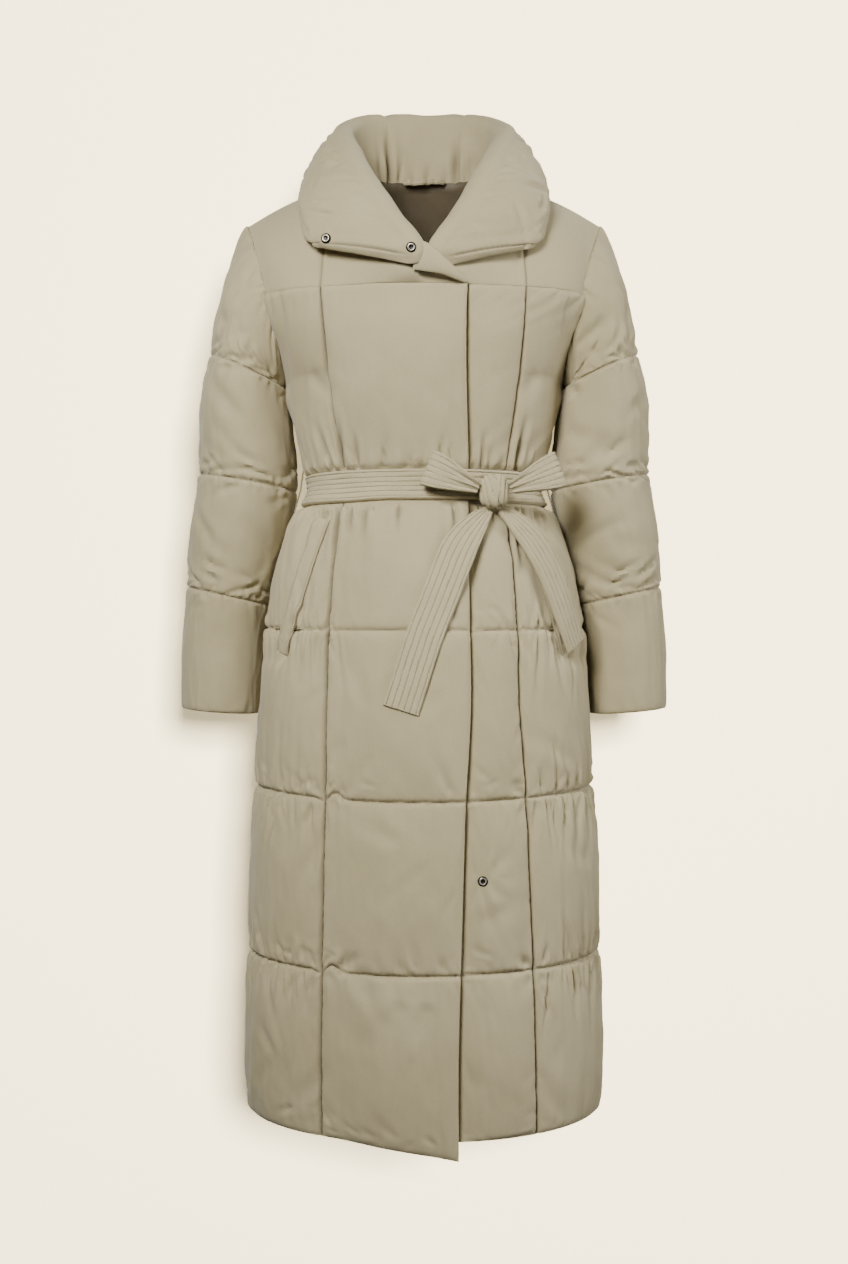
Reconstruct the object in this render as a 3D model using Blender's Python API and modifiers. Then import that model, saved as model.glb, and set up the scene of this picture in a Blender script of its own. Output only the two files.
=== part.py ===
"""A long belted puffer coat, filled out as it is worn but with nobody in it.

Metres, +Z up. The front faces -Y, and right and left are the wearer's, so the wearer's left is +X.
The origin is where the coat hangs on the wearer: midway between the shoulders, level with the
base of the neck. Every cloth piece is a closed wall: a plain inside, and an outside that stands off
it by the padding, so that the wall is thin along a seam and full in the middle of a baffle.
"""

import math
from collections import namedtuple

import bmesh
import bpy
import numpy as np
from mathutils import Vector
from mathutils.bvhtree import BVHTree

NAME = "long_puffer_coat"

# Walls
SEAM_WALL = 0.0035  # both cloths and the pressed filling along a seam
SEAM_GAP = 0.0003  # between two pieces that are sewn together
CLEAR = 0.0006  # between a piece and the panel that it lies on
BODY_FULL = 0.0125  # wall in the middle of a body baffle
SLEEVE_FULL = 0.0115
PILLOW_POWER = 0.45  # low is a steep rise beside the seam and a flat middle
ROUNDNESS = 2.2  # of the body's rings: 2 is an ellipse, more is squarer

# Heights on the body
HEM_Z = -1.140
BELT_LOW_Z = -0.386
BELT_HIGH_Z = -0.344
BELT_Z = 0.5 * (BELT_LOW_Z + BELT_HIGH_Z)
UNDERARM_Z = -0.224
YOKE_Z = -0.124
SHOULDER_Z = -0.028

BodyRing = namedtuple(
    "BodyRing", "z half_width front back princess_right princess_left lap_edge"
)
# Outer sizes of the filled coat, and how far from the middle its long seams run.
BODY_RINGS = (
    BodyRing(-1.145, 0.2265, 0.176, 0.178, 0.1200, 0.1320, 0.0395),
    BodyRing(-1.040, 0.2260, 0.174, 0.176, 0.1200, 0.1300, 0.0390),
    BodyRing(-0.945, 0.2240, 0.171, 0.172, 0.1195, 0.1280, 0.0415),
    BodyRing(-0.840, 0.2205, 0.168, 0.168, 0.1175, 0.1235, 0.0445),
    BodyRing(-0.742, 0.2165, 0.163, 0.163, 0.1160, 0.1200, 0.0475),
    BodyRing(-0.635, 0.2085, 0.157, 0.157, 0.1145, 0.1120, 0.0530),
    BodyRing(-0.540, 0.2015, 0.150, 0.150, 0.1120, 0.1100, 0.0525),
    BodyRing(-0.454, 0.1875, 0.140, 0.138, 0.1060, 0.1040, 0.0510),
    BodyRing(-0.404, 0.1720, 0.128, 0.124, 0.1000, 0.0980, 0.0510),
    BodyRing(-0.365, 0.1520, 0.117, 0.108, 0.0930, 0.0940, 0.0510),
    BodyRing(-0.323, 0.1580, 0.119, 0.112, 0.0980, 0.0985, 0.0505),
    BodyRing(-0.270, 0.1680, 0.128, 0.122, 0.1070, 0.1060, 0.0490),
    BodyRing(-0.224, 0.1740, 0.135, 0.130, 0.1130, 0.1120, 0.0480),
    BodyRing(-0.170, 0.1800, 0.138, 0.134, 0.1190, 0.1190, 0.0490),
    BodyRing(-0.124, 0.1915, 0.135, 0.132, 0.1230, 0.1220, 0.0510),
)

Course = namedtuple("Course", "low high puff rows")
# The baffles from the hem to the yoke seam, with the share of its height at which each row lies.
QUILT_ROWS = (0.0, 0.06, 0.2, 0.5, 0.8, 0.94)
BELT_ROWS = (0.0, 0.5)
CHEST_ROWS = (0.0, 0.05, 0.16, 0.34, 0.5455, 0.72, 0.86, 0.95, 1.0)
COURSES = (
    Course(HEM_Z, -0.945, 1.0, QUILT_ROWS),
    Course(-0.945, -0.742, 1.0, QUILT_ROWS),
    Course(-0.742, -0.540, 0.95, QUILT_ROWS),
    Course(-0.540, BELT_LOW_Z, 0.75, QUILT_ROWS),
    Course(BELT_LOW_Z, BELT_HIGH_Z, 0.05, BELT_ROWS),
    Course(BELT_HIGH_Z, YOKE_Z, 0.75, CHEST_ROWS),
)
HEM_WALL = 0.008
QUILT_RISE = 0.010  # how much higher the quilt lines run at the sides than in front
HEM_RISE = 0.007
GATHER_HEIGHT = 0.0022  # of the soft pleats that the belt draws in
GATHER_REACH = 0.055

# The lap: the right front lies over the left one
LAP_LIFT = 0.0075
LAP_WALL = 0.006
LAP_DROP = 0.021  # its corner at the hem hangs this much lower
LAP_START_X = -0.105
LAP_FULL_X = -0.035
UNDER_EDGE_X = -0.025  # the left front's hidden edge
UNDER_WALL = 0.0055  # the left front's wall where the right one lies on it
LAP_SHADOW = 0.0015  # the left front starts to fill out this far past the lap's edge

# Armholes
ARMHOLE_LOW_X = 0.1735
ARMHOLE_SPREAD = 0.048
ARMHOLE_FRONT = 0.070
ARMHOLE_BACK = 0.075

# Yokes
NECK_DROP = 0.0045  # of the neckline below the collar's seam, in front
NAPE_DROP = 0.0022  # and behind
SHOULDER_TURN = 0.45  # share of a yoke's top that is neckline; the rest is shoulder seam
SHOULDER_CROWN = 0.010
YOKE_CROWN = 0.016
YOKE_ROWS = (0.0, 0.12, 0.4, 0.75, 1.0)
YOKE_PUFF = 0.5

SleeveRing = namedtuple(
    "SleeveRing", "at outer_x outer_z inner_x inner_z half_depth centre_y"
)
# Outer sizes. A whole number is a seam: 0 the armhole, 1 to 3 the quilt lines, 4 the cuff.
SLEEVE_RINGS = (
    SleeveRing(0.35, 0.2420, -0.078, 0.1760, -0.234, 0.078, 0.004),
    SleeveRing(1.0, 0.2710, -0.186, 0.1735, -0.240, 0.081, 0.008),
    SleeveRing(1.5, 0.2835, -0.250, 0.1680, -0.296, 0.081, 0.012),
    SleeveRing(2.0, 0.2875, -0.338, 0.1630, -0.362, 0.077, 0.016),
    SleeveRing(2.5, 0.2980, -0.410, 0.1785, -0.432, 0.073, 0.024),
    SleeveRing(3.0, 0.3040, -0.480, 0.1970, -0.506, 0.067, 0.028),
    SleeveRing(3.5, 0.3090, -0.560, 0.2075, -0.576, 0.063, 0.028),
    SleeveRing(4.0, 0.3110, -0.637, 0.2120, -0.645, 0.059, 0.026),
)
SLEEVE_ROWS = (0.0, 0.08, 0.25, 0.5, 0.75, 0.92)
ARMHOLE_HOLD = (1.0, 0.7, 0.35)  # how far the first rows stand as the armhole seam does
CUFF_WALL = 0.006

CollarStation = namedtuple(
    "CollarStation",
    "seam_x seam_y seam_z roll_x roll_y roll_z edge_x edge_y edge_z full crown",
)
# Half of the collar, from its front end to the middle of the back: the neck seam, the roll at the
# top of the fold, the free edge, how full the wall is and how far the turned-down part crowns.
# x is away from the middle.
COLLAR_STATIONS = (
    CollarStation(0.012, -0.139, -0.106, 0.003, -0.150, -0.103, 0.132, -0.114, -0.076, 0.012, 0.008),
    CollarStation(0.020, -0.132, -0.094, 0.006, -0.151, -0.080, 0.145, -0.100, -0.062, 0.020, 0.010),
    CollarStation(0.046, -0.106, -0.058, 0.035, -0.131, -0.042, 0.150, -0.080, -0.044, 0.024, 0.012),
    CollarStation(0.069, -0.070, -0.018, 0.065, -0.094, 0.009, 0.153, -0.056, -0.020, 0.025, 0.010),
    CollarStation(0.083, -0.028, 0.016, 0.088, -0.049, 0.058, 0.152, -0.020, 0.008, 0.023, 0.006),
    CollarStation(0.087, 0.014, 0.036, 0.101, -0.002, 0.094, 0.147, 0.022, 0.028, 0.021, 0.004),
    CollarStation(0.076, 0.050, 0.040, 0.087, 0.046, 0.121, 0.128, 0.066, 0.028, 0.020, 0.007),
    CollarStation(0.043, 0.075, 0.041, 0.050, 0.078, 0.130, 0.076, 0.101, 0.023, 0.019, 0.008),
    CollarStation(0.000, 0.081, 0.041, 0.000, 0.087, 0.131, 0.000, 0.112, 0.021, 0.019, 0.008),
)
COLLAR_STEPS = 17  # stations on each half, from the ends to the middle of the back
COLLAR_ROLL_RADIUS = 0.010
COLLAR_FALL_ROWS = (0.2, 0.45, 0.7, 0.9, 1.0)
COLLAR_EDGE_WALL = 0.006
COLLAR_SEAM_WALL = 0.004
COLLAR_UNDER_TUCK = 0.013  # the left end lies under the right one

# Belt
BELT_WALL = 0.005
BELT_WIDTH = BELT_HIGH_Z - BELT_LOW_Z
BELT_LIFT = 0.0050  # of the belt's inside off the inside of the coat
BELT_COLUMNS = 48
TAIL_WALL = 0.0035
TAIL_WIDTH = 0.044
KNOT = (0.084, -0.1227, -0.371)
KNOT_HALF = (0.0175, 0.0135, 0.0205)
KNOT_SQUARENESS = 0.75  # 1 is an ellipsoid, less is boxier
KNOT_WRAP = 0.0012  # height of the ridges where the belt wraps it

StripStation = namedtuple("StripStation", "x z width lift")
# The belt's two ends hang from the knot: the middle of each, its width and how far it stands off
# the inside of the coat.
RIGHT_END = (
    StripStation(0.0770, -0.3944, 0.012, 0.0170),
    StripStation(0.0610, -0.4120, 0.030, 0.0205),
    StripStation(0.0415, -0.4410, 0.043, 0.0220),
    StripStation(0.0184, -0.4990, TAIL_WIDTH, 0.0220),
    StripStation(-0.0010, -0.5490, TAIL_WIDTH, 0.0220),
    StripStation(-0.0272, -0.6320, TAIL_WIDTH, 0.0220),
)
LEFT_END = (
    StripStation(0.0920, -0.3928, 0.012, 0.0175),
    StripStation(0.1110, -0.4080, 0.028, 0.0180),
    StripStation(0.1319, -0.4310, 0.040, 0.0180),
    StripStation(0.1500, -0.4610, TAIL_WIDTH, 0.0180),
    StripStation(0.1660, -0.5000, TAIL_WIDTH, 0.0180),
    StripStation(0.1850, -0.5560, TAIL_WIDTH, 0.0180),
)
TAIL_STEPS = 12
STRIP_COLUMNS = (-0.5, -0.25, 0.0, 0.25, 0.5)

LoopStation = namedtuple("LoopStation", "out forward width")
# A bow loop in plan: how far it is from the knot, how far in front of its middle, and the band's
# width there. It runs out in front, turns, and comes back behind.
LOOP_STATIONS = (
    LoopStation(0.000, 0.0030, 0.013),
    LoopStation(0.018, 0.0075, 0.025),
    LoopStation(0.038, 0.0095, 0.037),
    LoopStation(0.052, 0.0080, 0.043),
    LoopStation(0.0575, 0.0050, 0.044),
    LoopStation(0.059, 0.0000, 0.044),
    LoopStation(0.0565, -0.0045, 0.044),
    LoopStation(0.050, -0.0065, 0.042),
    LoopStation(0.036, -0.0065, 0.035),
    LoopStation(0.018, -0.0055, 0.024),
    LoopStation(0.000, -0.0030, 0.013),
)
LOOP_WALL = 0.0028
LOOP_RISE = 0.40  # how far a loop climbs for each unit that it runs out
LOOP_FORWARD = 0.0066  # of the loops' middle in front of the knot's
LOOP_GAP = 0.0021  # between the knot's side and the middle of a loop's root
LOOP_BACK = {-1: -0.10, 1: 0.16}  # how far each falls back round the waist for each unit out

# Pocket welts, belt carriers and hanger loop
WELT_TOP = (0.1270, -0.400)
WELT_LOW = (0.1790, -0.566)
WELT_WIDTH = 0.024
WELT_WALL = 0.0030
WELT_STEPS = 9
WELT_PADDING = 0.95

CarrierStation = namedtuple("CarrierStation", "z lift")
# A narrow loop that stands round the belt at each side seam.
CARRIER_STATIONS = (
    CarrierStation(-0.3330, 0.0095),
    CarrierStation(-0.3395, 0.0125),
    CarrierStation(-0.3500, 0.0160),
    CarrierStation(-0.3650, 0.0175),
    CarrierStation(-0.3800, 0.0160),
    CarrierStation(-0.3905, 0.0125),
    CarrierStation(-0.3970, 0.0095),
)
CARRIER_WIDTH = 0.006
CARRIER_WALL = 0.002
CARRIER_TURN = math.radians(86.0)

HANGER_HALF = 0.026
HANGER_HEIGHT = 0.007
HANGER_WALL = 0.0018
HANGER_STAND = 0.0075  # of its middle off the neck seam
HANGER_Z = 0.0475
HANGER_Y = 0.0732
HANGER_STEPS = 11

# The strip of the right front that tapers off beyond the collar's end, down to the lap's corner
BandStation = namedtuple("BandStation", "x high low y")
BAND_STATIONS = (
    BandStation(0.0040, -0.0765, -0.1070, -0.1528),
    BandStation(0.0220, -0.0940, -0.1140, -0.1500),
    BandStation(0.0380, -0.1085, -0.1200, -0.1435),
    BandStation(0.0495, -0.1195, -0.1236, -0.1345),
)
BAND_WALL = 0.004
BAND_STEPS = 7

LINING_WALL = 0.0015
LINING_COLUMNS = 3  # columns of the back yoke left bare at each side

# Press studs
SNAP_RADIUS = 0.0062
SNAP_HEIGHT = 0.0026
SNAP_RIM = 0.0044
SNAP_WELL_RADIUS = 0.0028
SNAP_WELL_DEPTH = 0.0012
SNAP_STEPS = 16

SnapPlace = namedtuple("SnapPlace", "name on x z seat")
# The seat is the height of a stud's back off the cloth, more where the cloth curves up round it.
SNAP_PLACES = (
    SnapPlace("collar_snap_outer", "collar", -0.1166, -0.0689, 0.0010),
    SnapPlace("collar_snap_inner", "collar", -0.0150, -0.0861, 0.0005),
    SnapPlace("front_snap", "front_centre_left", 0.0694, -0.8340, 0.0005),
)

Finish = namedtuple("Finish", "colour roughness metallic")
FINISHES = {
    "shell_cloth": Finish((0.40, 0.36, 0.27), 0.85, 0.0),
    "belt_cloth": Finish((0.41, 0.37, 0.28), 0.85, 0.0),
    "lining_cloth": Finish((0.19, 0.16, 0.12), 0.7, 0.0),
    "snap_metal": Finish((0.16, 0.15, 0.15), 0.35, 1.0),
}


# Curves and small helpers


def curve(keys, values, at):
    """A smooth curve through the values at rising keys, read at the places asked for."""
    keys = np.asarray(keys, float)
    values = np.asarray(values, float)
    flat = values.ndim == 1
    if flat:
        values = values[:, None]
    at = np.clip(np.atleast_1d(np.asarray(at, float)), keys[0], keys[-1])
    slopes = np.gradient(values, keys, axis=0)
    left = np.clip(np.searchsorted(keys, at, side="right") - 1, 0, len(keys) - 2)
    span = keys[left + 1] - keys[left]
    t = ((at - keys[left]) / span)[:, None]
    start = (2 * t**3 - 3 * t**2 + 1) * values[left]
    start += (t**3 - 2 * t**2 + t) * slopes[left] * span[:, None]
    end = (3 * t**2 - 2 * t**3) * values[left + 1]
    end += (t**3 - t**2) * slopes[left + 1] * span[:, None]
    return (start + end)[:, 0] if flat else start + end


def smoothstep(low, high, value):
    t = np.clip((np.asarray(value, float) - low) / (high - low), 0.0, 1.0)
    return t * t * (3.0 - 2.0 * t)


def unit(vectors):
    return vectors / np.linalg.norm(vectors, axis=-1, keepdims=True)


def pillow(q):
    """The padding's height across a baffle: nothing at the seams and 1 in the middle."""
    return np.clip(4.0 * q * (1.0 - q), 0.0, 1.0) ** PILLOW_POWER


def grid_normals(points, ring=False):
    """Unit normals of a grid of points. A ring's columns close on themselves."""
    along = np.gradient(points, axis=0)
    if ring:
        across = np.roll(points, -1, axis=1) - np.roll(points, 1, axis=1)
    else:
        across = np.gradient(points, axis=1)
    return unit(np.cross(across, along))


def draw_in(points, by, rows=(True, True), columns=(True, True)):
    """Pulls the chosen borders of a grid towards its inside, which opens the gap at a seam."""
    moved = points.copy()
    if rows[0]:
        moved[0] += by * unit(points[1] - points[0])
    if rows[1]:
        moved[-1] += by * unit(points[-2] - points[-1])
    if columns[0]:
        moved[:, 0] += by * unit(points[:, 1] - points[:, 0])
    if columns[1]:
        moved[:, -1] += by * unit(points[:, -2] - points[:, -1])
    return moved


def finish(name):
    """The Principled material of this name, made once."""
    if name in bpy.data.materials:
        return bpy.data.materials[name]
    look = FINISHES[name]
    material = bpy.data.materials.new(name)
    material.use_nodes = True
    shader = material.node_tree.nodes["Principled BSDF"]
    shader.inputs["Base Color"].default_value = (*look.colour, 1.0)
    shader.inputs["Roughness"].default_value = look.roughness
    shader.inputs["Metallic"].default_value = look.metallic
    return material


def add_object(name, mesh, material):
    mesh.materials.append(finish(material))
    piece = bpy.data.objects.new(name, mesh)
    bpy.data.collections[NAME].objects.link(piece)
    return piece


def wall(name, inside, outside, material, ring=False):
    """A closed wall between two grids of points. A ring's columns close on themselves."""
    rows, columns = inside.shape[:2]
    around = columns if ring else columns - 1
    outer = np.arange(rows * columns).reshape(rows, columns)
    inner = outer + rows * columns
    faces = []

    def strip(first, second):
        for j in range(len(first) - 1):
            faces.append((first[j], first[j + 1], second[j + 1], second[j]))

    for i in range(rows - 1):
        for j in range(around):
            k = (j + 1) % columns
            faces.append((outer[i, j], outer[i, k], outer[i + 1, k], outer[i + 1, j]))
            faces.append((inner[i, j], inner[i + 1, j], inner[i + 1, k], inner[i, k]))
    low = [*range(columns), 0] if ring else list(range(columns))
    strip([inner[0, j] for j in low], [outer[0, j] for j in low])
    strip([outer[-1, j] for j in low], [inner[-1, j] for j in low])
    if not ring:
        strip(list(outer[:, 0]), list(inner[:, 0]))
        strip(list(inner[:, -1]), list(outer[:, -1]))
    points = np.concatenate([outside.reshape(-1, 3), inside.reshape(-1, 3)])
    mesh = bpy.data.meshes.new(name)
    mesh.from_pydata(points.tolist(), [], [[int(v) for v in face] for face in faces])
    tidy = bmesh.new()
    tidy.from_mesh(mesh)
    bmesh.ops.recalc_face_normals(tidy, faces=tidy.faces)
    if tidy.calc_volume(signed=True) < 0:
        bmesh.ops.reverse_faces(tidy, faces=tidy.faces)
    tidy.to_mesh(mesh)
    tidy.free()
    mesh.shade_smooth()
    mesh.set_sharp_from_angle(angle=math.radians(50))
    return add_object(name, mesh, material)


# The body's surface


def ring_size(column, z):
    return curve([r.z for r in BODY_RINGS], [getattr(r, column) for r in BODY_RINGS], z)


def arm_share(z):
    """0 at the underarm and 1 at the shoulder point."""
    return np.clip((z - UNDERARM_Z) / (SHOULDER_Z - UNDERARM_Z), 0.0, 1.0)


def armhole(share, side, depth):
    """A point of the armhole seam. The depth is negative on the front."""
    share = np.asarray(share, float)
    x = side * (ARMHOLE_LOW_X + ARMHOLE_SPREAD * share**1.5)
    y = depth * np.sin(math.pi * share)
    z = UNDERARM_Z + (SHOULDER_Z - UNDERARM_Z) * share
    return np.stack([x, y, z], axis=-1)


def armhole_stand(share, side, front):
    """The way in which both walls stand at the armhole seam."""
    share = np.asarray(share, float)
    x = side * (0.12 + 0.5 * share)
    y = (-1.0 if front else 1.0) * np.sin(math.pi * share)
    return unit(np.stack([x, y, -np.cos(math.pi * share)], axis=-1))


def bare_body(phi, z):
    """The inside of the coat: phi is 0 in front, a quarter turn at the side seam at +X."""
    phi, z = np.broadcast_arrays(np.asarray(phi, float), np.asarray(z, float))
    level = z.reshape(-1)
    half = (ring_size("half_width", level) - BODY_FULL).reshape(z.shape)
    front = (ring_size("front", level) - BODY_FULL).reshape(z.shape)
    back = (ring_size("back", level) - BODY_FULL).reshape(z.shape)
    bend = np.sin(math.pi * arm_share(z))
    sine = np.sin(phi)
    cosine = np.cos(phi)
    x = half * np.sign(sine) * np.abs(sine) ** (2.0 / ROUNDNESS)
    turn = np.abs(cosine) ** (2.0 / ROUNDNESS)
    y_front = -front + (front - ARMHOLE_FRONT * bend) * (1.0 - turn)
    y_back = back - (back - ARMHOLE_BACK * bend) * (1.0 - turn)
    y = np.where(cosine >= 0.0, y_front, y_back)
    below = np.clip((z - BELT_Z) / (HEM_Z - BELT_Z), 0.0, 1.0)
    rise = QUILT_RISE * np.sin(math.pi * below) ** 2 + HEM_RISE * below**4
    height = z + rise * sine**2
    return np.stack([x, y, height], axis=-1)


def body_normal(phi, z):
    step = 1e-3
    around = bare_body(phi + step, z) - bare_body(phi - step, z)
    upward = bare_body(phi, z + step) - bare_body(phi, z - step)
    return unit(np.cross(around, upward))


def on_body(phi, z, lift):
    """A point that stands off the inside of the coat by the lift."""
    lift = np.asarray(lift, float)
    return bare_body(phi, z) + body_normal(phi, z) * lift[..., None]


def turn_at(x, z):
    """The turn phi, on the front, of a place this far from the middle."""
    half = ring_size("half_width", np.atleast_1d(z)) - BODY_FULL
    share = np.clip(np.abs(x) / half, 0.0, 1.0) ** (ROUNDNESS / 2.0)
    return np.sign(x) * np.arcsin(share)


def lap_rise(x, z):
    """How far the coat's inside is lifted where the right front lies over the left."""
    edge = ring_size("lap_edge", np.atleast_1d(z))
    rise = smoothstep(LAP_START_X, LAP_FULL_X, x)
    return LAP_LIFT * rise * (1.0 - smoothstep(edge + 0.004, edge + 0.035, x))


def course_rows():
    """The height, padding and whether it is a seam, of each row from the hem to the yoke."""
    heights = []
    padding = []
    for course in COURSES:
        for share in course.rows:
            heights.append(course.low + share * (course.high - course.low))
            padding.append(course.puff * float(pillow(share)))
    return np.array(heights), np.array(padding)


def gathers(columns, z):
    """Soft pleats beside the belt, on every second column."""
    near = np.exp(-(((np.abs(z - BELT_Z) - 0.5 * BELT_WIDTH) / GATHER_REACH) ** 2))
    near = near * (np.abs(z - BELT_Z) > 0.5 * BELT_WIDTH + 0.001)
    way = np.where(np.arange(columns) % 2 == 1, 1.0, -0.6)
    return GATHER_HEIGHT * near[:, None] * way[None, :]


PANEL_COLUMNS = (0.0, 0.08, 0.25, 0.5, 0.75, 0.92, 1.0)
WIDE_COLUMNS = (0.0, 0.05, 0.15, 0.3, 0.5, 0.7, 0.85, 0.95, 1.0)
COVERED_COLUMNS = (0.0, 0.5)


def padded_height(shares, padding, full):
    """The wall of a panel between two seams, over its rows and columns."""
    across = pillow(np.asarray(shares)) ** 0.8
    return SEAM_WALL + (full - SEAM_WALL) * padding[:, None] * across[None, :]


def armhole_blend(shares, share):
    """How much of the armhole's stand a panel's columns take, over the rows above the underarm."""
    near = smoothstep(0.55, 1.0, np.asarray(shares))
    low = 1.0 - smoothstep(0.15, 0.5, share)
    blend = near[None, :] * low[:, None]
    blend[:, -1] = 1.0
    return blend


def body_panel(name, start, stop, shares, armhole_side=0, armhole_front=True):
    """A panel between two long seams, given as turns for each row. With a side, its last column
    follows the armhole above the underarm."""
    z, padding = course_rows()
    shares = np.asarray(shares)
    phi = start(z)[:, None] * (1.0 - shares) + stop(z)[:, None] * shares
    level = np.repeat(z[:, None], len(shares), axis=1)
    inside = bare_body(phi, level)
    stand = body_normal(phi, level)
    height = padded_height(shares, padding, BODY_FULL)
    height[1:-1, 1:-1] += gathers(len(shares), z)[1:-1, 1:-1]
    height[0] = HEM_WALL
    height[0, 0] = height[0, -1] = SEAM_WALL
    if armhole_side:
        above = z >= UNDERARM_Z - 1e-6
        share = arm_share(z[above])
        depth = -ARMHOLE_FRONT if armhole_front else ARMHOLE_BACK
        rim_stand = armhole_stand(share, armhole_side, armhole_front)
        blend = armhole_blend(shares, share)
        inside[above, -1] = armhole(share, armhole_side, depth)
        mixed = stand[above] * (1.0 - blend[..., None]) + rim_stand[:, None] * blend[..., None]
        stand[above] = unit(mixed)
        height[above] = SEAM_WALL + (height[above] - SEAM_WALL) * (1.0 - 0.75 * blend)
    outside = inside + stand * height[..., None]
    by = 0.5 * SEAM_GAP
    rows = (False, True)
    return wall(name, draw_in(inside, by, rows), draw_in(outside, by, rows), "shell_cloth")


def right_seam(z):
    return turn_at(-ring_size("princess_right", z), z)


def left_seam(z):
    return turn_at(ring_size("princess_left", z), z)


def side_seam(side):
    return lambda z: np.full_like(z, side * 0.5 * math.pi)


def back_seam(side):
    """A back seam as far from the middle as the front one on that side."""
    column = "princess_left" if side > 0 else "princess_right"
    return lambda z: side * math.pi - turn_at(side * ring_size(column, z), z)


def build_lapped_front():
    """The right front: it leaves the body's surface to lie over the left front."""
    z, padding = course_rows()
    shares = np.asarray(WIDE_COLUMNS)
    edge = turn_at(ring_size("lap_edge", z), z)
    phi = right_seam(z)[:, None] * (1.0 - shares) + edge[:, None] * shares
    level = np.repeat(z[:, None], len(shares), axis=1)
    lowered = smoothstep(COURSES[0].high, HEM_Z, z)[:, None] * shares[None, :] ** 2
    base = bare_body(phi, level)
    lift = LAP_LIFT * smoothstep(LAP_START_X, LAP_FULL_X, base[..., 0])
    stand = body_normal(phi, level)
    inside = base + stand * lift[..., None]
    inside[..., 2] -= LAP_DROP * lowered
    height = padded_height(shares, padding, BODY_FULL)
    height[1:-1, 1:-1] += gathers(len(shares), z)[1:-1, 1:-1]
    height[0] = HEM_WALL
    height[0, 0] = SEAM_WALL
    height[:, -1] = pressed_wall(padding, LAP_WALL)
    outside = inside + stand * height[..., None]
    by = 0.5 * SEAM_GAP
    rows = (False, True)
    columns = (True, False)
    inside = draw_in(inside, by, rows, columns)
    outside = draw_in(outside, by, rows, columns)
    return wall("front_centre_right", inside, outside, "shell_cloth")


def pressed_wall(padding, full):
    """A thin wall beside a lap, which the belt and the quilt lines press flatter still."""
    return SEAM_WALL + (full - SEAM_WALL) * np.minimum(1.0, 3.0 * padding)


def build_under_front():
    """The left front: thin where the right one covers it, and padded from the lap's edge on."""
    z, padding = course_rows()
    covered = np.asarray(COVERED_COLUMNS)
    free = np.asarray(PANEL_COLUMNS)
    hidden = turn_at(np.full_like(z, UNDER_EDGE_X), z)[:, None]
    edge = turn_at(ring_size("lap_edge", z) + LAP_SHADOW, z)[:, None]
    seam = left_seam(z)[:, None]
    phi = np.concatenate(
        [hidden + (edge - hidden) * covered, edge + (seam - edge) * free], axis=1
    )
    level = np.repeat(z[:, None], phi.shape[1], axis=1)
    inside = bare_body(phi, level)
    flat = pressed_wall(padding, UNDER_WALL)[:, None]
    puffed = padded_height(free, padding, BODY_FULL)
    puffed[1:-1, 1:-1] += gathers(len(free), z)[1:-1, 1:-1]
    edging = 1.0 - smoothstep(0.0, 0.3, free)
    puffed = np.maximum(puffed, SEAM_WALL + (flat - SEAM_WALL) * edging)
    height = np.concatenate([np.repeat(flat, len(covered), axis=1), puffed], axis=1)
    height[0] = UNDER_WALL
    height[0, -1] = SEAM_WALL
    outside = inside + body_normal(phi, level) * height[..., None]
    by = 0.5 * SEAM_GAP
    rows = (False, True)
    columns = (False, True)
    inside = draw_in(inside, by, rows, columns)
    outside = draw_in(outside, by, rows, columns)
    return wall("front_centre_left", inside, outside, "shell_cloth")


def build_body():
    build_lapped_front()
    build_under_front()
    body_panel("front_side_right", right_seam, side_seam(-1), PANEL_COLUMNS, -1, True)
    body_panel("front_side_left", left_seam, side_seam(1), PANEL_COLUMNS, 1, True)
    body_panel("back_side_right", back_seam(-1), side_seam(-1), PANEL_COLUMNS, -1, False)
    body_panel("back_side_left", back_seam(1), side_seam(1), PANEL_COLUMNS, 1, False)
    right = back_seam(-1)
    body_panel(
        "back_centre", back_seam(1), lambda z: 2.0 * math.pi + right(z), WIDE_COLUMNS
    )


# The yokes, from the yoke seam up to the neckline and the shoulder seam


def neckline(side):
    """The yokes' neckline under the collar's seam, from the front or back middle outwards."""
    seam, _, _, _, _ = collar_lines()
    half = seam[:COLLAR_STEPS] if side < 0 else seam[COLLAR_STEPS - 1 :][::-1]
    lowered = half.copy()
    drop = NECK_DROP + SEAM_WALL * smoothstep(-0.06, 0.03, half[:, 2])
    lowered[:, 2] -= drop + (NAPE_DROP - drop) * smoothstep(0.04, 0.07, half[:, 1])
    return lowered


def yoke_top(side, front, columns):
    """The neckline from its middle to the neck point, then the shoulder seam to the armhole."""
    line = neckline(side)
    neck = int(np.argmax(np.abs(line[:, 0])))
    part = line[: neck + 1] if front else line[: neck - 1 : -1]
    steps = np.linspace(0.0, 1.0, columns)
    within = steps <= SHOULDER_TURN
    top = np.empty((columns, 3))
    top[within] = curve(np.linspace(0, 1, len(part)), part, steps[within] / SHOULDER_TURN)
    out = ((steps - SHOULDER_TURN) / (1.0 - SHOULDER_TURN))[~within][:, None]
    seam = part[-1] + (armhole(1.0, side, 0.0) - part[-1]) * out
    seam[:, 2] += SHOULDER_CROWN * np.sin(math.pi * out[:, 0])
    top[~within] = seam
    return top


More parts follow.
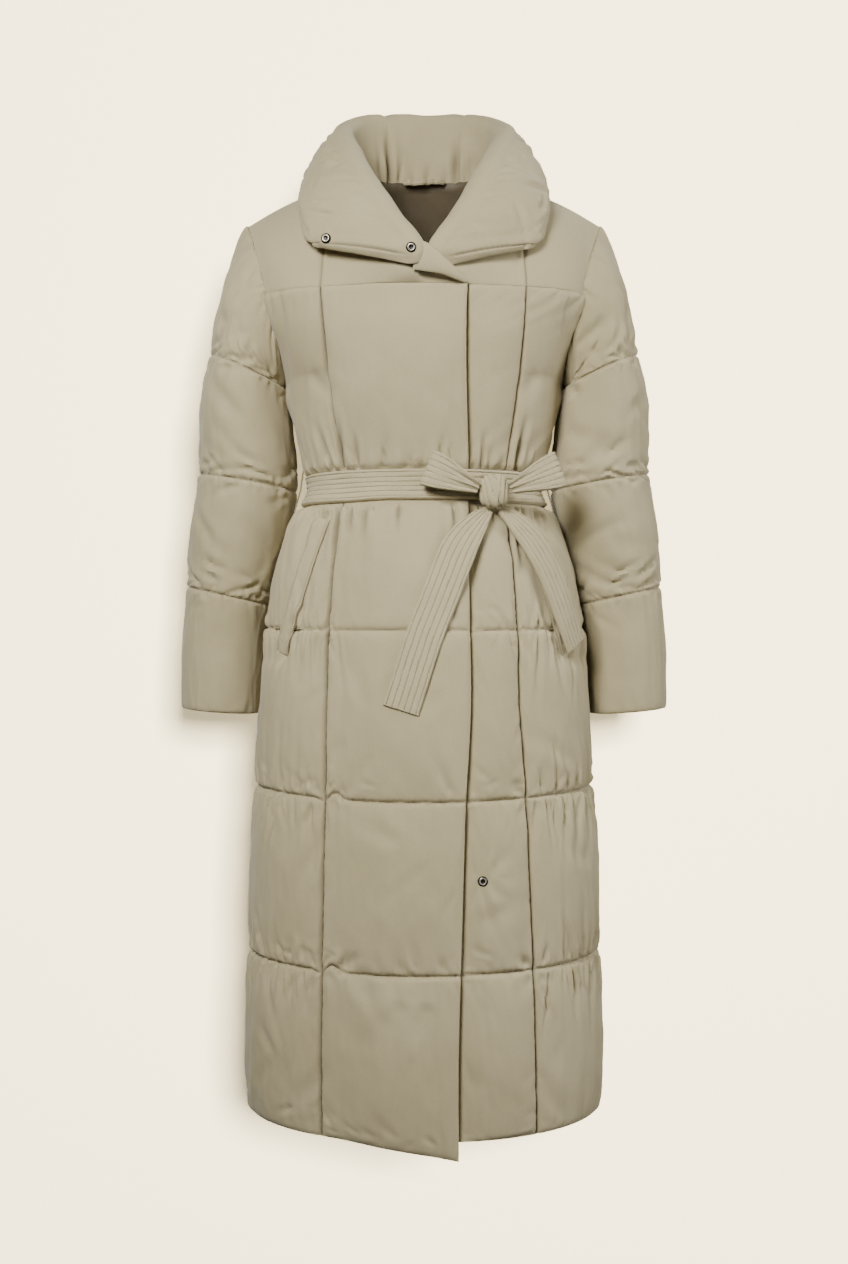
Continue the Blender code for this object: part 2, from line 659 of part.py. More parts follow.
def yoke_grid(low, low_stand, side, front):
    """The inside and the stand of half a yoke, from the middle to the armhole, over the yoke
    seam below it."""
    columns = low.shape[0]
    share = np.linspace(0.0, 1.0, columns)
    top = yoke_top(side, front, columns)
    sign = -1.0 if front else 1.0
    sweep = np.clip(share / SHOULDER_TURN, 0.0, 1.0)
    if front:
        forward = (0.8 - 0.55 * sweep) * (1.0 - share)
        upward = np.ones(columns)
    else:
        forward = 1.0 - 0.9 * sweep**1.5
        upward = 0.3 + 0.7 * sweep**1.5
    top_stand = np.stack([side * (0.1 + 0.3 * share), sign * forward, upward], axis=-1)
    rise = np.asarray(YOKE_ROWS)[:, None, None]
    inside = low[None] * (1.0 - rise) + top[None] * rise
    first = float(arm_share(np.array(YOKE_Z)))
    shares = first + (1.0 - first) * np.asarray(YOKE_ROWS)
    rim = armhole(shares, side, -ARMHOLE_FRONT if front else ARMHOLE_BACK)
    inside += (share**2)[None, :, None] * (rim - inside[:, -1])[:, None]
    stand = unit(low_stand[None] * (1.0 - rise) + unit(top_stand)[None] * rise)
    stand[:, -1] = armhole_stand(shares, side, front)
    across = np.sin(math.pi * np.clip(share * 0.9 + 0.1, 0.0, 1.0))
    inside += YOKE_CROWN * np.sin(math.pi * rise) * across[None, :, None] * stand
    return inside, stand


def yoke_wall(name, inside, stand, shares):
    padding = YOKE_PUFF * pillow(np.asarray(YOKE_ROWS))
    height = padded_height(shares, padding, BODY_FULL)
    outside = inside + stand * height[..., None]
    by = 0.5 * SEAM_GAP
    return wall(name, draw_in(inside, by), draw_in(outside, by), "shell_cloth")


def seam_row(phis, side, front, lift):
    """The yoke seam through the turns of the panels below, ending on the armhole."""
    level = np.full_like(phis, YOKE_Z)
    stand = body_normal(phis, level)
    points = bare_body(phis, level) + stand * lift[:, None]
    share = arm_share(np.array(YOKE_Z))
    points[-1] = armhole(share, side, -ARMHOLE_FRONT if front else ARMHOLE_BACK)
    stand[-1] = armhole_stand(share, side, front)
    return points, stand


def build_front_yoke(name, side):
    seam = float((right_seam if side < 0 else left_seam)(np.array([YOKE_Z]))[0])
    panel = np.asarray(PANEL_COLUMNS)[1:]
    inner = np.linspace(0.0, seam, 7)
    phis = np.concatenate([inner, seam + (side * 0.5 * math.pi - seam) * panel])
    x = bare_body(phis, np.full_like(phis, YOKE_Z))[:, 0]
    lift = LAP_LIFT * smoothstep(LAP_START_X, LAP_FULL_X, x) * (side < 0)
    inside, stand = yoke_grid(*seam_row(phis, side, True, lift), side, True)
    yoke_wall(name, inside, stand, np.linspace(0.0, 1.0, len(phis)))


def back_yoke_grid():
    """The back yoke's inside and stand, from the right armhole to the left one."""
    panel = np.asarray(PANEL_COLUMNS)[1:]
    halves = []
    for side in (-1, 1):
        seam = abs(float(back_seam(side)(np.array([YOKE_Z]))[0]))
        inner = np.linspace(math.pi, seam, 5)
        phis = side * np.concatenate([inner, seam + (0.5 * math.pi - seam) * panel])
        halves.append(yoke_grid(*seam_row(phis, side, False, 0.0 * phis), side, False))
    return [
        np.concatenate([right[:, ::-1], left[:, 1:]], axis=1)
        for right, left in zip(*halves)
    ]


def build_yokes():
    build_front_yoke("front_yoke_right", -1)
    build_front_yoke("front_yoke_left", 1)
    inside, stand = back_yoke_grid()
    yoke_wall("back_yoke", inside, stand, np.linspace(0.0, 1.0, inside.shape[1]))


# Sleeves


def armhole_shares():
    """Where the rows of the panels and the yokes meet the armhole, from underarm to shoulder."""
    z, _ = course_rows()
    low = arm_share(z[z >= UNDERARM_Z - 1e-6])
    high = low[-1] + (1.0 - low[-1]) * np.asarray(YOKE_ROWS)[1:]
    return np.concatenate([low, high])


def build_sleeve(name, side):
    shares = armhole_shares()
    back = shares[-2:0:-1]
    first = np.concatenate(
        [armhole(shares, side, -ARMHOLE_FRONT), armhole(back, side, ARMHOLE_BACK)]
    )
    stand = np.concatenate(
        [armhole_stand(shares, side, True), armhole_stand(back, side, False)]
    )
    count = len(first)
    half = len(shares) - 1
    theta = math.pi * np.arange(count) / half
    rings = [first]
    for ring in SLEEVE_RINGS:
        outer = np.array([side * ring.outer_x, ring.centre_y, ring.outer_z])
        inner = np.array([side * ring.inner_x, ring.centre_y, ring.inner_z])
        reach = 0.5 * (outer - inner)
        reach *= 1.0 - SLEEVE_FULL / np.linalg.norm(reach)
        depth = np.array([0.0, ring.half_depth - SLEEVE_FULL, 0.0])
        middle = 0.5 * (outer + inner)
        rings.append(
            middle - np.cos(theta)[:, None] * reach - np.sin(theta)[:, None] * depth
        )
    keys = [0.0, *(ring.at for ring in SLEEVE_RINGS)]
    spots = [k + share for k in range(4) for share in SLEEVE_ROWS] + [4.0]
    stack = np.array(rings).reshape(len(rings), -1)
    inside = curve(keys, stack, spots).reshape(len(spots), count, 3)
    normal = grid_normals(inside, ring=True)
    if np.mean(np.sum(normal * (inside - inside.mean(axis=1, keepdims=True)), axis=-1)) < 0:
        normal = -normal
    for row, hold in enumerate(ARMHOLE_HOLD):
        normal[row] = unit(normal[row] * (1.0 - hold) + stand * hold)
    padding = pillow(np.array([spot % 1.0 for spot in spots]))
    squeeze = np.ones((len(spots), count))
    first_course = np.array(spots) < 1.0
    squeeze[first_course] = 0.3 + 0.7 * smoothstep(0.1, 1.0, 0.5 * (1.0 - np.cos(theta)))
    height = SEAM_WALL + (SLEEVE_FULL - SEAM_WALL) * padding[:, None] * squeeze
    height[-1] = CUFF_WALL
    outside = inside + normal * height[..., None]
    by = 0.5 * SEAM_GAP
    rows = (True, False)
    none = (False, False)
    inside = draw_in(inside, by, rows, none)
    outside = draw_in(outside, by, rows, none)
    return wall(name, inside, outside, "shell_cloth", ring=True)


# Collar


def collar_lines():
    """The neck seam, roll and free edge, the fullness and the crown, from the right end round the
    back to the left end."""
    values = np.array(COLLAR_STATIONS)
    steps = np.arange(len(values))
    half = curve(steps, values, np.linspace(0, len(values) - 1, COLLAR_STEPS))
    right = half.copy()
    right[:, (0, 3, 6)] *= -1.0
    left = half[::-1].copy()
    tuck = COLLAR_UNDER_TUCK * smoothstep(0.55, 1.0, np.linspace(0, 1, COLLAR_STEPS))
    left[:, 1] += tuck
    left[:, 4] += tuck
    left[:, 7] += 0.3 * tuck
    left[:, (0, 3)] += 0.6 * tuck[:, None]
    lines = np.concatenate([right, left[1:]])
    return lines[:, 0:3], lines[:, 3:6], lines[:, 6:9], lines[:, 9], lines[:, 10]


def collar_centreline():
    """The middle of the collar's wall: up from the neck seam, over the roll and down."""
    seam, roll, edge, full, crown = collar_lines()
    along = unit(np.gradient(roll, axis=0))
    fall = unit(edge - roll)
    drop = unit(seam - roll)
    top = -(fall + drop)
    top -= along * np.sum(top * along, axis=-1, keepdims=True)
    top = unit(top)
    out = np.cross(along, top)
    out *= np.sign(np.sum(out * (edge - seam), axis=-1, keepdims=True))
    radius = COLLAR_ROLL_RADIUS
    crest = roll - top * radius
    near = crest - out * radius
    far = crest + out * radius
    rows = [seam, 0.5 * (seam + near) - 0.002 * out, near]
    for angle in (135.0, 90.0, 45.0):
        turn = math.radians(angle)
        rows.append(crest + radius * (math.cos(turn) * out + math.sin(turn) * top))
    rows.append(far)
    away = np.cross(along, fall)
    away *= np.sign(np.sum(away * out, axis=-1, keepdims=True))
    for share in COLLAR_FALL_ROWS:
        bow = crown[:, None] * math.sin(math.pi * share) ** 0.8
        rows.append(far + share * (edge - far) + bow * away)
    return np.array(rows), full


def collar_half_walls(full):
    """Half the wall at each row of the collar's centreline."""
    seam = np.full_like(full, COLLAR_SEAM_WALL)
    edge = np.full_like(full, COLLAR_EDGE_WALL)
    rows = [seam, 0.4 * seam + 0.4 * full, 0.6 * full, 0.62 * full, 0.64 * full, 0.68 * full]
    rows += [0.74 * full, 0.9 * full, full, 0.98 * full, 0.7 * full + 0.3 * edge, edge]
    return 0.5 * np.array(rows)


def collar_faces():
    """The two faces of the collar: the hidden one, and the one that shows."""
    centre, full = collar_centreline()
    half = collar_half_walls(full)
    ends = np.minimum(1.0, np.linspace(0, 6, centre.shape[1]) + 0.45)
    ends = np.minimum(ends, ends[::-1])
    half = half * ends[None, :]
    normal = grid_normals(centre)
    crown = centre[4] - 0.5 * (centre[2] + centre[6])
    if np.sum(normal[4] * crown) < 0:
        normal = -normal
    return centre - normal * half[..., None], centre + normal * half[..., None]


def build_collar():
    hidden, shown = collar_faces()
    return wall("collar", hidden, shown, "shell_cloth")


def build_neck_band():
    """The tapering strip between the collar's right end and the corner of the lap."""
    values = np.array(BAND_STATIONS)
    steps = np.linspace(0, len(values) - 1, BAND_STEPS)
    x, high, low, y = curve(np.arange(len(values)), values, steps).T
    rows = [
        np.stack([x, y - 0.0015 * math.sin(math.pi * share), low + (high - low) * share], -1)
        for share in (0.0, 0.33, 0.67, 1.0)
    ]
    middle = np.array(rows)
    stand = grid_normals(middle)
    if stand[0, 0, 1] > 0:
        stand = -stand
    half = 0.5 * BAND_WALL
    wall("front_neck_band", middle - stand * half, middle + stand * half, "shell_cloth")


def build_lining():
    """The lining that shows inside the neck, against the back yoke."""
    inside, stand = back_yoke_grid()
    keep = slice(LINING_COLUMNS, inside.shape[1] - LINING_COLUMNS)
    face = draw_in(inside[:, keep] - stand[:, keep] * CLEAR, 0.0008)
    back = face - stand[:, keep] * LINING_WALL
    wall("neck_lining", back, face, "lining_cloth")


def build_hanger_loop():
    share = np.linspace(-1.0, 1.0, HANGER_STEPS)
    stand = HANGER_STAND * (1.0 - share**4) ** 0.8
    rows = []
    for height in (-0.5, 0.0, 0.5):
        z = np.full_like(share, HANGER_Z + height * HANGER_HEIGHT)
        rows.append(np.stack([share * HANGER_HALF, HANGER_Y - stand, z], axis=-1))
    middle = np.array(rows)
    face = grid_normals(middle)
    if face[1, HANGER_STEPS // 2, 1] > 0:
        face = -face
    half = 0.5 * HANGER_WALL
    wall("hanger_loop", middle - face * half, middle + face * half, "shell_cloth")


# Belt, bow and what holds it


def build_belt():
    """One turn round the waist, over both fronts. Its ends cross under the knot."""
    phi = np.linspace(-math.pi, math.pi, BELT_COLUMNS, endpoint=False)
    rows = []
    stands = []
    for share in (0.0, 0.12, 0.5, 0.88, 1.0):
        z = np.full_like(phi, BELT_LOW_Z + 0.001 + share * (BELT_WIDTH - 0.002))
        front = np.cos(phi) > 0.0
        rise = lap_rise(bare_body(phi, z)[:, 0], z) * front
        rows.append(on_body(phi, z, BELT_LIFT + rise))
        stands.append(body_normal(phi, z))
    inside = np.array(rows)
    across = np.array([0.7, 1.0, 1.0, 1.0, 0.7])[:, None, None]
    outside = inside + np.array(stands) * BELT_WALL * across
    wall("belt", inside, outside, "belt_cloth", ring=True)


def on_front(x, z, lift):
    """The place this far across and up that stands in front of the coat's inside by the lift."""
    x, z, lift = np.broadcast_arrays(x, z, lift)
    level = z.reshape(-1)
    half = ring_size("half_width", level).reshape(z.shape) - BODY_FULL + lift
    deep = ring_size("front", level).reshape(z.shape) - BODY_FULL + lift
    share = np.clip(np.abs(x) / half, 0.0, 1.0) ** ROUNDNESS
    return np.stack([x, -deep * (1.0 - share) ** (1.0 / ROUNDNESS), z], axis=-1)


def strip_on_front(name, stations, steps, thickness, material):
    """A flat strip that follows the coat's front: its middle line, widths and lifts are given."""
    values = np.array(stations)
    keys = np.arange(len(values))
    x, z, width, lift = curve(keys, values, np.linspace(0, keys[-1], steps)).T
    middle = on_front(x, z, lift)
    step = 1e-3
    across = on_front(x + step, z, lift) - on_front(x - step, z, lift)
    upward = on_front(x, z + step, lift) - on_front(x, z - step, lift)
    normal = unit(np.cross(across, upward))
    side = unit(np.cross(normal, unit(np.gradient(middle, axis=0))))
    places = np.array(STRIP_COLUMNS)[None, :, None]
    flat = middle[:, None] + side[:, None] * places * width[:, None, None]
    inside = on_front(flat[..., 0], flat[..., 2], lift[:, None])
    stand = grid_normals(inside)
    if np.mean(np.sum(stand * normal[:, None], axis=-1)) < 0:
        stand = -stand
    return wall(name, inside, inside + stand * thickness, material)


def build_bow_loop(name, side):
    """A band that leaves the knot in front, turns and comes back behind."""
    values = np.array(LOOP_STATIONS)
    keys = np.arange(len(values))
    out, forward, width = curve(keys, values, np.linspace(0, keys[-1], 21)).T
    run = np.array([side, LOOP_BACK[side], LOOP_RISE])
    upright = unit(np.array([-side * LOOP_RISE, 0.0, 1.0]))
    root = np.array(KNOT) + np.array([side * (KNOT_HALF[0] + LOOP_GAP), -LOOP_FORWARD, 0.003])
    middle = root + run * out[:, None]
    middle[:, 1] -= forward
    middle = middle[:, None] + upright * np.array(STRIP_COLUMNS)[None, :, None] * width[:, None, None]
    normal = grid_normals(middle)
    if normal[2, 2, 1] > 0:
        normal = -normal
    return wall(name, middle, middle + normal * LOOP_WALL, "belt_cloth")


def build_knot():
    shape = bmesh.new()
    bmesh.ops.create_uvsphere(shape, u_segments=16, v_segments=10, radius=1.0)
    for vert in shape.verts:
        way = vert.co.copy()
        boxed = Vector([math.copysign(abs(c) ** KNOT_SQUARENESS, c) for c in way])
        wrap = 1.0 + KNOT_WRAP / KNOT_HALF[0] * math.cos(5.0 * math.pi * way.x)
        vert.co = Vector([k + h * b * wrap for k, h, b in zip(KNOT, KNOT_HALF, boxed)])
    mesh = bpy.data.meshes.new("bow_knot")
    shape.to_mesh(mesh)
    shape.free()
    mesh.shade_smooth()
    add_object("bow_knot", mesh, "belt_cloth")


def build_welt(name, side):
    """A slanting pocket welt, which lies on the padding of the side panel."""
    share = np.linspace(0.0, 1.0, WELT_STEPS)
    x = side * (WELT_TOP[0] + share * (WELT_LOW[0] - WELT_TOP[0]))
    z = WELT_TOP[1] + share * (WELT_LOW[1] - WELT_TOP[1])
    start = (right_seam if side < 0 else left_seam)(z)
    phi = turn_at(x, z)
    across = (phi - start) / (side * 0.5 * math.pi - start)
    courses = np.interp(z, [-0.60, -0.50], [0.95, 0.75]) * WELT_PADDING
    full = SEAM_WALL + (BODY_FULL - SEAM_WALL) * courses * pillow(across) ** 0.8
    stations = [
        StripStation(*row) for row in zip(x, z, np.full_like(x, WELT_WIDTH), full + CLEAR)
    ]
    strip_on_front(name, stations, WELT_STEPS, WELT_WALL, "shell_cloth")


def build_carrier(name, side):
    z = np.array([s.z for s in CARRIER_STATIONS])
    lift = np.array([s.lift for s in CARRIER_STATIONS])
    phi = np.full_like(z, side * CARRIER_TURN)
    middle = on_body(phi, z, lift)
    forward = np.array([0.0, -1.0, 0.0])
    places = np.array([-0.5, 0.5]) * CARRIER_WIDTH
    grid = middle[:, None] + forward * places[None, :, None]
    stand = grid_normals(grid)
    if np.mean(stand[..., 0]) * side < 0:
        stand = -stand
    half = 0.5 * CARRIER_WALL
    wall(name, grid - stand * half, grid + stand * half, "shell_cloth")


def build_snap(place):
    """A press stud's cap: a turned ring with a well, seated on the cloth that faces -Y."""
    cloth = bpy.data.objects[place.on]
    tree = BVHTree.FromObject(cloth, bpy.context.evaluated_depsgraph_get())
    seat, normal, _, _ = tree.ray_cast(Vector((place.x, -1.0, place.z)), Vector((0.0, 1.0, 0.0)))
    profile = (
        (0.0, SNAP_HEIGHT - SNAP_WELL_DEPTH),
        (SNAP_WELL_RADIUS, SNAP_HEIGHT - SNAP_WELL_DEPTH),
        (SNAP_WELL_RADIUS + 0.0004, SNAP_HEIGHT),
        (SNAP_RIM, SNAP_HEIGHT),
        (SNAP_RADIUS - 0.0006, 0.55 * SNAP_HEIGHT),
        (SNAP_RADIUS, 0.3 * SNAP_HEIGHT),
        (SNAP_RADIUS, 0.0),
        (0.0, 0.0),
    )
    mesh = bpy.data.meshes.new(place.name)
    points = [(radius, 0.0, height) for radius, height in profile]
    mesh.from_pydata(points, [(i, i + 1) for i in range(len(points) - 1)], [])
    cap = add_object(place.name, mesh, "snap_metal")
    turn = cap.modifiers.new("turned", "SCREW")
    turn.steps = turn.render_steps = SNAP_STEPS
    turn.use_merge_vertices = True
    turn.merge_threshold = 0.00001
    cap.location = seat + normal * place.seat
    cap.rotation_euler = normal.to_track_quat("Z", "Y").to_euler()


def build_all():
    for old in list(bpy.data.objects):
        bpy.data.objects.remove(old, do_unlink=True)
    coat = bpy.data.collections.new(NAME)
    bpy.context.scene.collection.children.link(coat)
    build_body()
    build_yokes()
    build_collar()
    build_neck_band()
    build_lining()
    build_hanger_loop()
    build_belt()
    build_knot()
    strip_on_front("belt_end_right", RIGHT_END, TAIL_STEPS, TAIL_WALL, "belt_cloth")
    strip_on_front("belt_end_left", LEFT_END, TAIL_STEPS, TAIL_WALL, "belt_cloth")
    for side, hand in ((-1, "right"), (1, "left")):
        build_sleeve("sleeve_" + hand, side)
        build_bow_loop("bow_loop_" + hand, side)
        build_welt("pocket_welt_" + hand, side)
        build_carrier("belt_carrier_" + hand, side)
    for place in SNAP_PLACES:
        build_snap(place)


build_all()
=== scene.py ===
import math
import bpy
import bmesh
import numpy as np
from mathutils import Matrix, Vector


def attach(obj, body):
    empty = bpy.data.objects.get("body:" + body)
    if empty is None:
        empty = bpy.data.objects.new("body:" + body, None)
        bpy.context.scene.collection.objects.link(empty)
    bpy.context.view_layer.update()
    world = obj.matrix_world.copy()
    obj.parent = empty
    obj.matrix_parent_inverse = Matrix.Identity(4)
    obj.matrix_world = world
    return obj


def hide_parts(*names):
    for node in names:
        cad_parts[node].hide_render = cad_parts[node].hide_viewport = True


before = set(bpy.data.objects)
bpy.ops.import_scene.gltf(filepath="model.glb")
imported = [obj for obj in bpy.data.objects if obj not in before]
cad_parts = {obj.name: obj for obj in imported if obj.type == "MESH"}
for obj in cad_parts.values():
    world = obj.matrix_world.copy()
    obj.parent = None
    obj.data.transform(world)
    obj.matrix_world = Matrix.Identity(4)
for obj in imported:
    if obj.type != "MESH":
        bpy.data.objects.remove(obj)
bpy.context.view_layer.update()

scene = bpy.context.scene

# The camera stands level in front of the coat, at the height of the hip.
camera = bpy.data.objects.new("camera", bpy.data.cameras.new("camera"))
scene.collection.objects.link(camera)
camera.data.lens = 50
camera.data.sensor_width = 36
camera.location = (0, -2.23, -0.54)
camera.rotation_euler = (math.pi / 2, 0, 0)
scene.camera = camera


# ---- The body: seven panels, from the right front's edge round the back to the left front
# The real coat is two cloths with down between, sewn down along every seam and quilt line. The
# left front runs on under the lap. All heights are in metres from the neck, and downward is less.
HEM, BELT_LOW, BELT_HIGH, UNDERARM, YOKE, SHOULDER = -1.140, -0.386, -0.344, -0.224, -0.124, -0.028
LOW_QUILT, MID_QUILT, TOP_QUILT, WAIST = -0.945, -0.742, -0.540, -0.365
# How thick the wall is at a seam, beside one, where it is full and at its plumpest.
SEAM, EDGE, FULL, PLUMP, YOKE_HEIGHT = 0.0035, 0.0060, 0.0125, 0.0142, 0.0085
ROUND = 2.2  # how square the coat is in plan: 2 is an ellipse
ARM_FRONT, ARM_BACK = 0.070, 0.075  # how far the armhole bows to the front and to the back
SEAM_GAP = 0.00015  # what each of two cloths leaves free at their seam
LAP_LIFT = 0.0075  # how far the right front lies off the left one
# Each ring gives the outer half width and the depths of the filled coat, and its long seams.
ring_columns = "z half front back right left lap".split()
rings = np.array([
    (-1.145, 0.2265, 0.176, 0.178, 0.1200, 0.1320, 0.0395),
    (-1.040, 0.2260, 0.174, 0.176, 0.1200, 0.1300, 0.0390),
    (-0.945, 0.2240, 0.171, 0.172, 0.1195, 0.1280, 0.0415),
    (-0.840, 0.2205, 0.168, 0.168, 0.1175, 0.1235, 0.0445),
    (-0.742, 0.2165, 0.163, 0.163, 0.1160, 0.1200, 0.0475),
    (-0.635, 0.2085, 0.157, 0.157, 0.1145, 0.1120, 0.0530),
    (-0.540, 0.2015, 0.150, 0.150, 0.1120, 0.1100, 0.0525),
    (-0.454, 0.1875, 0.140, 0.138, 0.1060, 0.1040, 0.0510),
    (-0.404, 0.1720, 0.128, 0.124, 0.1000, 0.0980, 0.0510),
    (-0.365, 0.1520, 0.117, 0.108, 0.0930, 0.0940, 0.0510),
    (-0.323, 0.1580, 0.119, 0.112, 0.0980, 0.0985, 0.0505),
    (-0.270, 0.1680, 0.128, 0.122, 0.1070, 0.1060, 0.0490),
    (-0.224, 0.1740, 0.135, 0.130, 0.1130, 0.1120, 0.0480),
    (-0.170, 0.1800, 0.138, 0.134, 0.1190, 0.1190, 0.0490),
    (-0.124, 0.1915, 0.135, 0.132, 0.1230, 0.1220, 0.0510),
])


def curve(keys, values, at):
    """A smooth curve through values at rising keys."""
    keys = np.asarray(keys, float)
    values = np.asarray(values, float)
    flat = values.ndim == 1
    if flat:
        values = values[:, None]
    at = np.clip(np.atleast_1d(np.asarray(at, float)), keys[0], keys[-1])
    slopes = np.gradient(values, keys, axis=0)
    left = np.clip(np.searchsorted(keys, at, side="right") - 1, 0, len(keys) - 2)
    span = keys[left + 1] - keys[left]
    t = ((at - keys[left]) / span)[:, None]
    out = (2 * t**3 - 3 * t**2 + 1) * values[left] + (3 * t**2 - 2 * t**3) * values[left + 1]
    out += ((t**3 - 2 * t**2 + t) * slopes[left] + (t**3 - t**2) * slopes[left + 1]) * span[:, None]
    return out[:, 0] if flat else out


def size(name, z):
    """A column of the rings at any height."""
    return curve(rings[:, 0], rings[:, ring_columns.index(name)], np.ravel(z)).reshape(np.shape(z))


def arm_share(z):
    """How far up the armhole a height is."""
    return np.clip((z - UNDERARM) / (SHOULDER - UNDERARM), 0, 1)


def bare(phi, z):
    """The inside of the coat: phi is 0 in front and a quarter turn at the side seam at +X."""
    phi, z = np.broadcast_arrays(phi, z)
    half, front, back = (size(name, z) - FULL for name in ("half", "front", "back"))
    bend = np.sin(math.pi * arm_share(z))
    x = half * np.sign(np.sin(phi)) * np.abs(np.sin(phi)) ** (2 / ROUND)
    turn = np.abs(np.cos(phi)) ** (2 / ROUND)
    y_front = -front + (front - ARM_FRONT * bend) * (1 - turn)
    y_back = back - (back - ARM_BACK * bend) * (1 - turn)
    below = np.clip((z - WAIST) / (HEM - WAIST), 0, 1)
    rise = 0.010 * np.sin(math.pi * below) ** 2 + 0.007 * below**4
    y = np.where(np.cos(phi) >= 0, y_front, y_back)
    return np.stack([x, y, z + rise * np.sin(phi) ** 2], -1)


def unit(v):
    """Vectors brought to length 1."""
    return v / np.maximum(np.linalg.norm(v, axis=-1, keepdims=True), 1e-12)


def bare_normal(phi, z):
    """The way out of the coat."""
    d = 1e-3
    return unit(np.cross(bare(phi + d, z) - bare(phi - d, z), bare(phi, z + d) - bare(phi, z - d)))


def turn_at(x, z):
    """The turn round the coat at which its front has this x."""
    share = np.clip(np.abs(x) / (size("half", z) - FULL), 0, 1)
    return np.sign(x) * np.arcsin(share ** (ROUND / 2))


def armhole(share, side, depth):
    """The armhole's line from the underarm up to the shoulder."""
    share = np.asarray(share, float)
    x = side * (0.1735 + 0.048 * share**1.5)
    z = UNDERARM + (SHOULDER - UNDERARM) * share
    return np.stack([x, depth * np.sin(math.pi * share), z], -1)


def armhole_stand(share, side, front):
    """The way that the wall stands along the armhole."""
    share = np.asarray(share, float)
    y = (-1 if front else 1) * np.sin(math.pi * share)
    return unit(np.stack([side * (0.12 + 0.5 * share), y, -np.cos(math.pi * share)], -1))


def spread(count, pull=0.45):
    """Shares from 0 to 1 that crowd towards both ends."""
    t = np.linspace(0, 1, count + 1)
    return t - pull * np.sin(2 * math.pi * t) / (2 * math.pi)


# The courses from the hem up: where each starts and ends, how full it is, and its rows.
courses = [
    (HEM, LOW_QUILT, 1.0, 48), (LOW_QUILT, MID_QUILT, 1.0, 50), (MID_QUILT, TOP_QUILT, 0.95, 50),
    (TOP_QUILT, BELT_LOW, 0.75, 40), (BELT_LOW, BELT_HIGH, 0.05, 6), (BELT_HIGH, YOKE, 0.78, 50),
]
body_z, body_pad, body_seam = [], [], []
for low, high, puff, count in courses:
    for share in spread(count, 0.7)[:-1]:
        body_z.append(low + share * (high - low))
        body_pad.append(puff * (4 * share * (1 - share)) ** 0.65)
        body_seam.append(share == 0)
z = np.array(body_z + [YOKE])
body_pad = np.array(body_pad + [0.0])
body_seam = np.array(body_seam + [True])
z[np.argmin(np.abs(z - UNDERARM))] = UNDERARM
rows = len(z)

# The long seams, as turns round the coat that fall all the way round from lap to lap.
seams = [
    turn_at(size("lap", z), z),
    turn_at(-size("right", z), z),
    np.full(rows, -math.pi / 2),
    -math.pi - turn_at(-size("right", z), z),
    -math.pi - turn_at(size("left", z), z),
    np.full(rows, -1.5 * math.pi),
    turn_at(size("left", z), z) - 2 * math.pi,
    turn_at(size("lap", z) + 0.0015, z) - 2 * math.pi,
    turn_at(np.full(rows, -0.025), z) - 2 * math.pi,
]
# Columns for each of the seven panels and for the left front's strip under the lap.
counts = [60, 84, 44, 56, 44, 84, 40, 14]
RIGHT_FRONT, LEFT_FRONT, UNDER_LAP = 0, 6, 7
phi, share_u, panel = [], [], []
for index, count in enumerate(counts):
    for s in spread(count, 0.4 if count == 84 else 0.6):
        phi.append(seams[index] * (1 - s) + seams[index + 1] * s)
        share_u.append(s)
        panel.append(index)
phi, share_u, panel = np.array(phi).T, np.array(share_u), np.array(panel)
first = [int(np.argmax(panel == index)) for index in range(8)]
last = [f + c for f, c in zip(first, counts)]
cols = len(panel)
phi[:, (first[2], first[5])] -= 1e-6
level = np.repeat(z[:, None], cols, axis=1)
body_in = bare(phi, level)
stand = bare_normal(phi, level)


def ease(low, high, value):
    """Rises smoothly from 0 at low to 1 at high, or falls where high is the lower one."""
    t = np.clip((np.asarray(value, float) - low) / (high - low), 0, 1)
    return t * t * (3 - 2 * t)


def mound(away, width):
    """1 where away is 0, fading out smoothly over a width to both sides."""
    return np.exp(-((away / width) ** 2))


# The padding: none along the seams and most in the middle, thin beside the lap and under it.
across = (4 * share_u * (1 - share_u)) ** 0.6
height = EDGE + (PLUMP - EDGE) * body_pad[:, None] * across[None, :]
height += 0.0045 * mound(z - TOP_QUILT, 0.030)[:, None] * across[None, :] ** 0.6
belted = ease(0.032, 0.0220, np.abs(z - WAIST))[:, None]
height = height - (height - SEAM) * belted
to_yoke = ease(YOKE - 0.055, YOKE, z)[:, None]
height = height + (YOKE_HEIGHT - height) * to_yoke
by_lap = ease(0.0, 0.25, share_u)
sunk = (
    (EDGE - SEAM) * ease(0.30, 0.0, 1 - share_u)
    + 0.2 * (FULL - EDGE) * ease(0.45, 0.0, 1 - share_u)
)
left = panel == LEFT_FRONT
height[:, left] -= (sunk[None, :] * np.minimum(1, 3 * body_pad)[:, None] * (1 - to_yoke))[:, left]
height[:, left] = np.maximum(height[:, left], SEAM)
thin = SEAM + 0.0035 * np.minimum(1, 3 * body_pad)[:, None] * (1 - by_lap)[None, :]
height[:, panel == RIGHT_FRONT] = np.maximum(height, thin)[:, panel == RIGHT_FRONT]
height[:, panel == UNDER_LAP] = SEAM

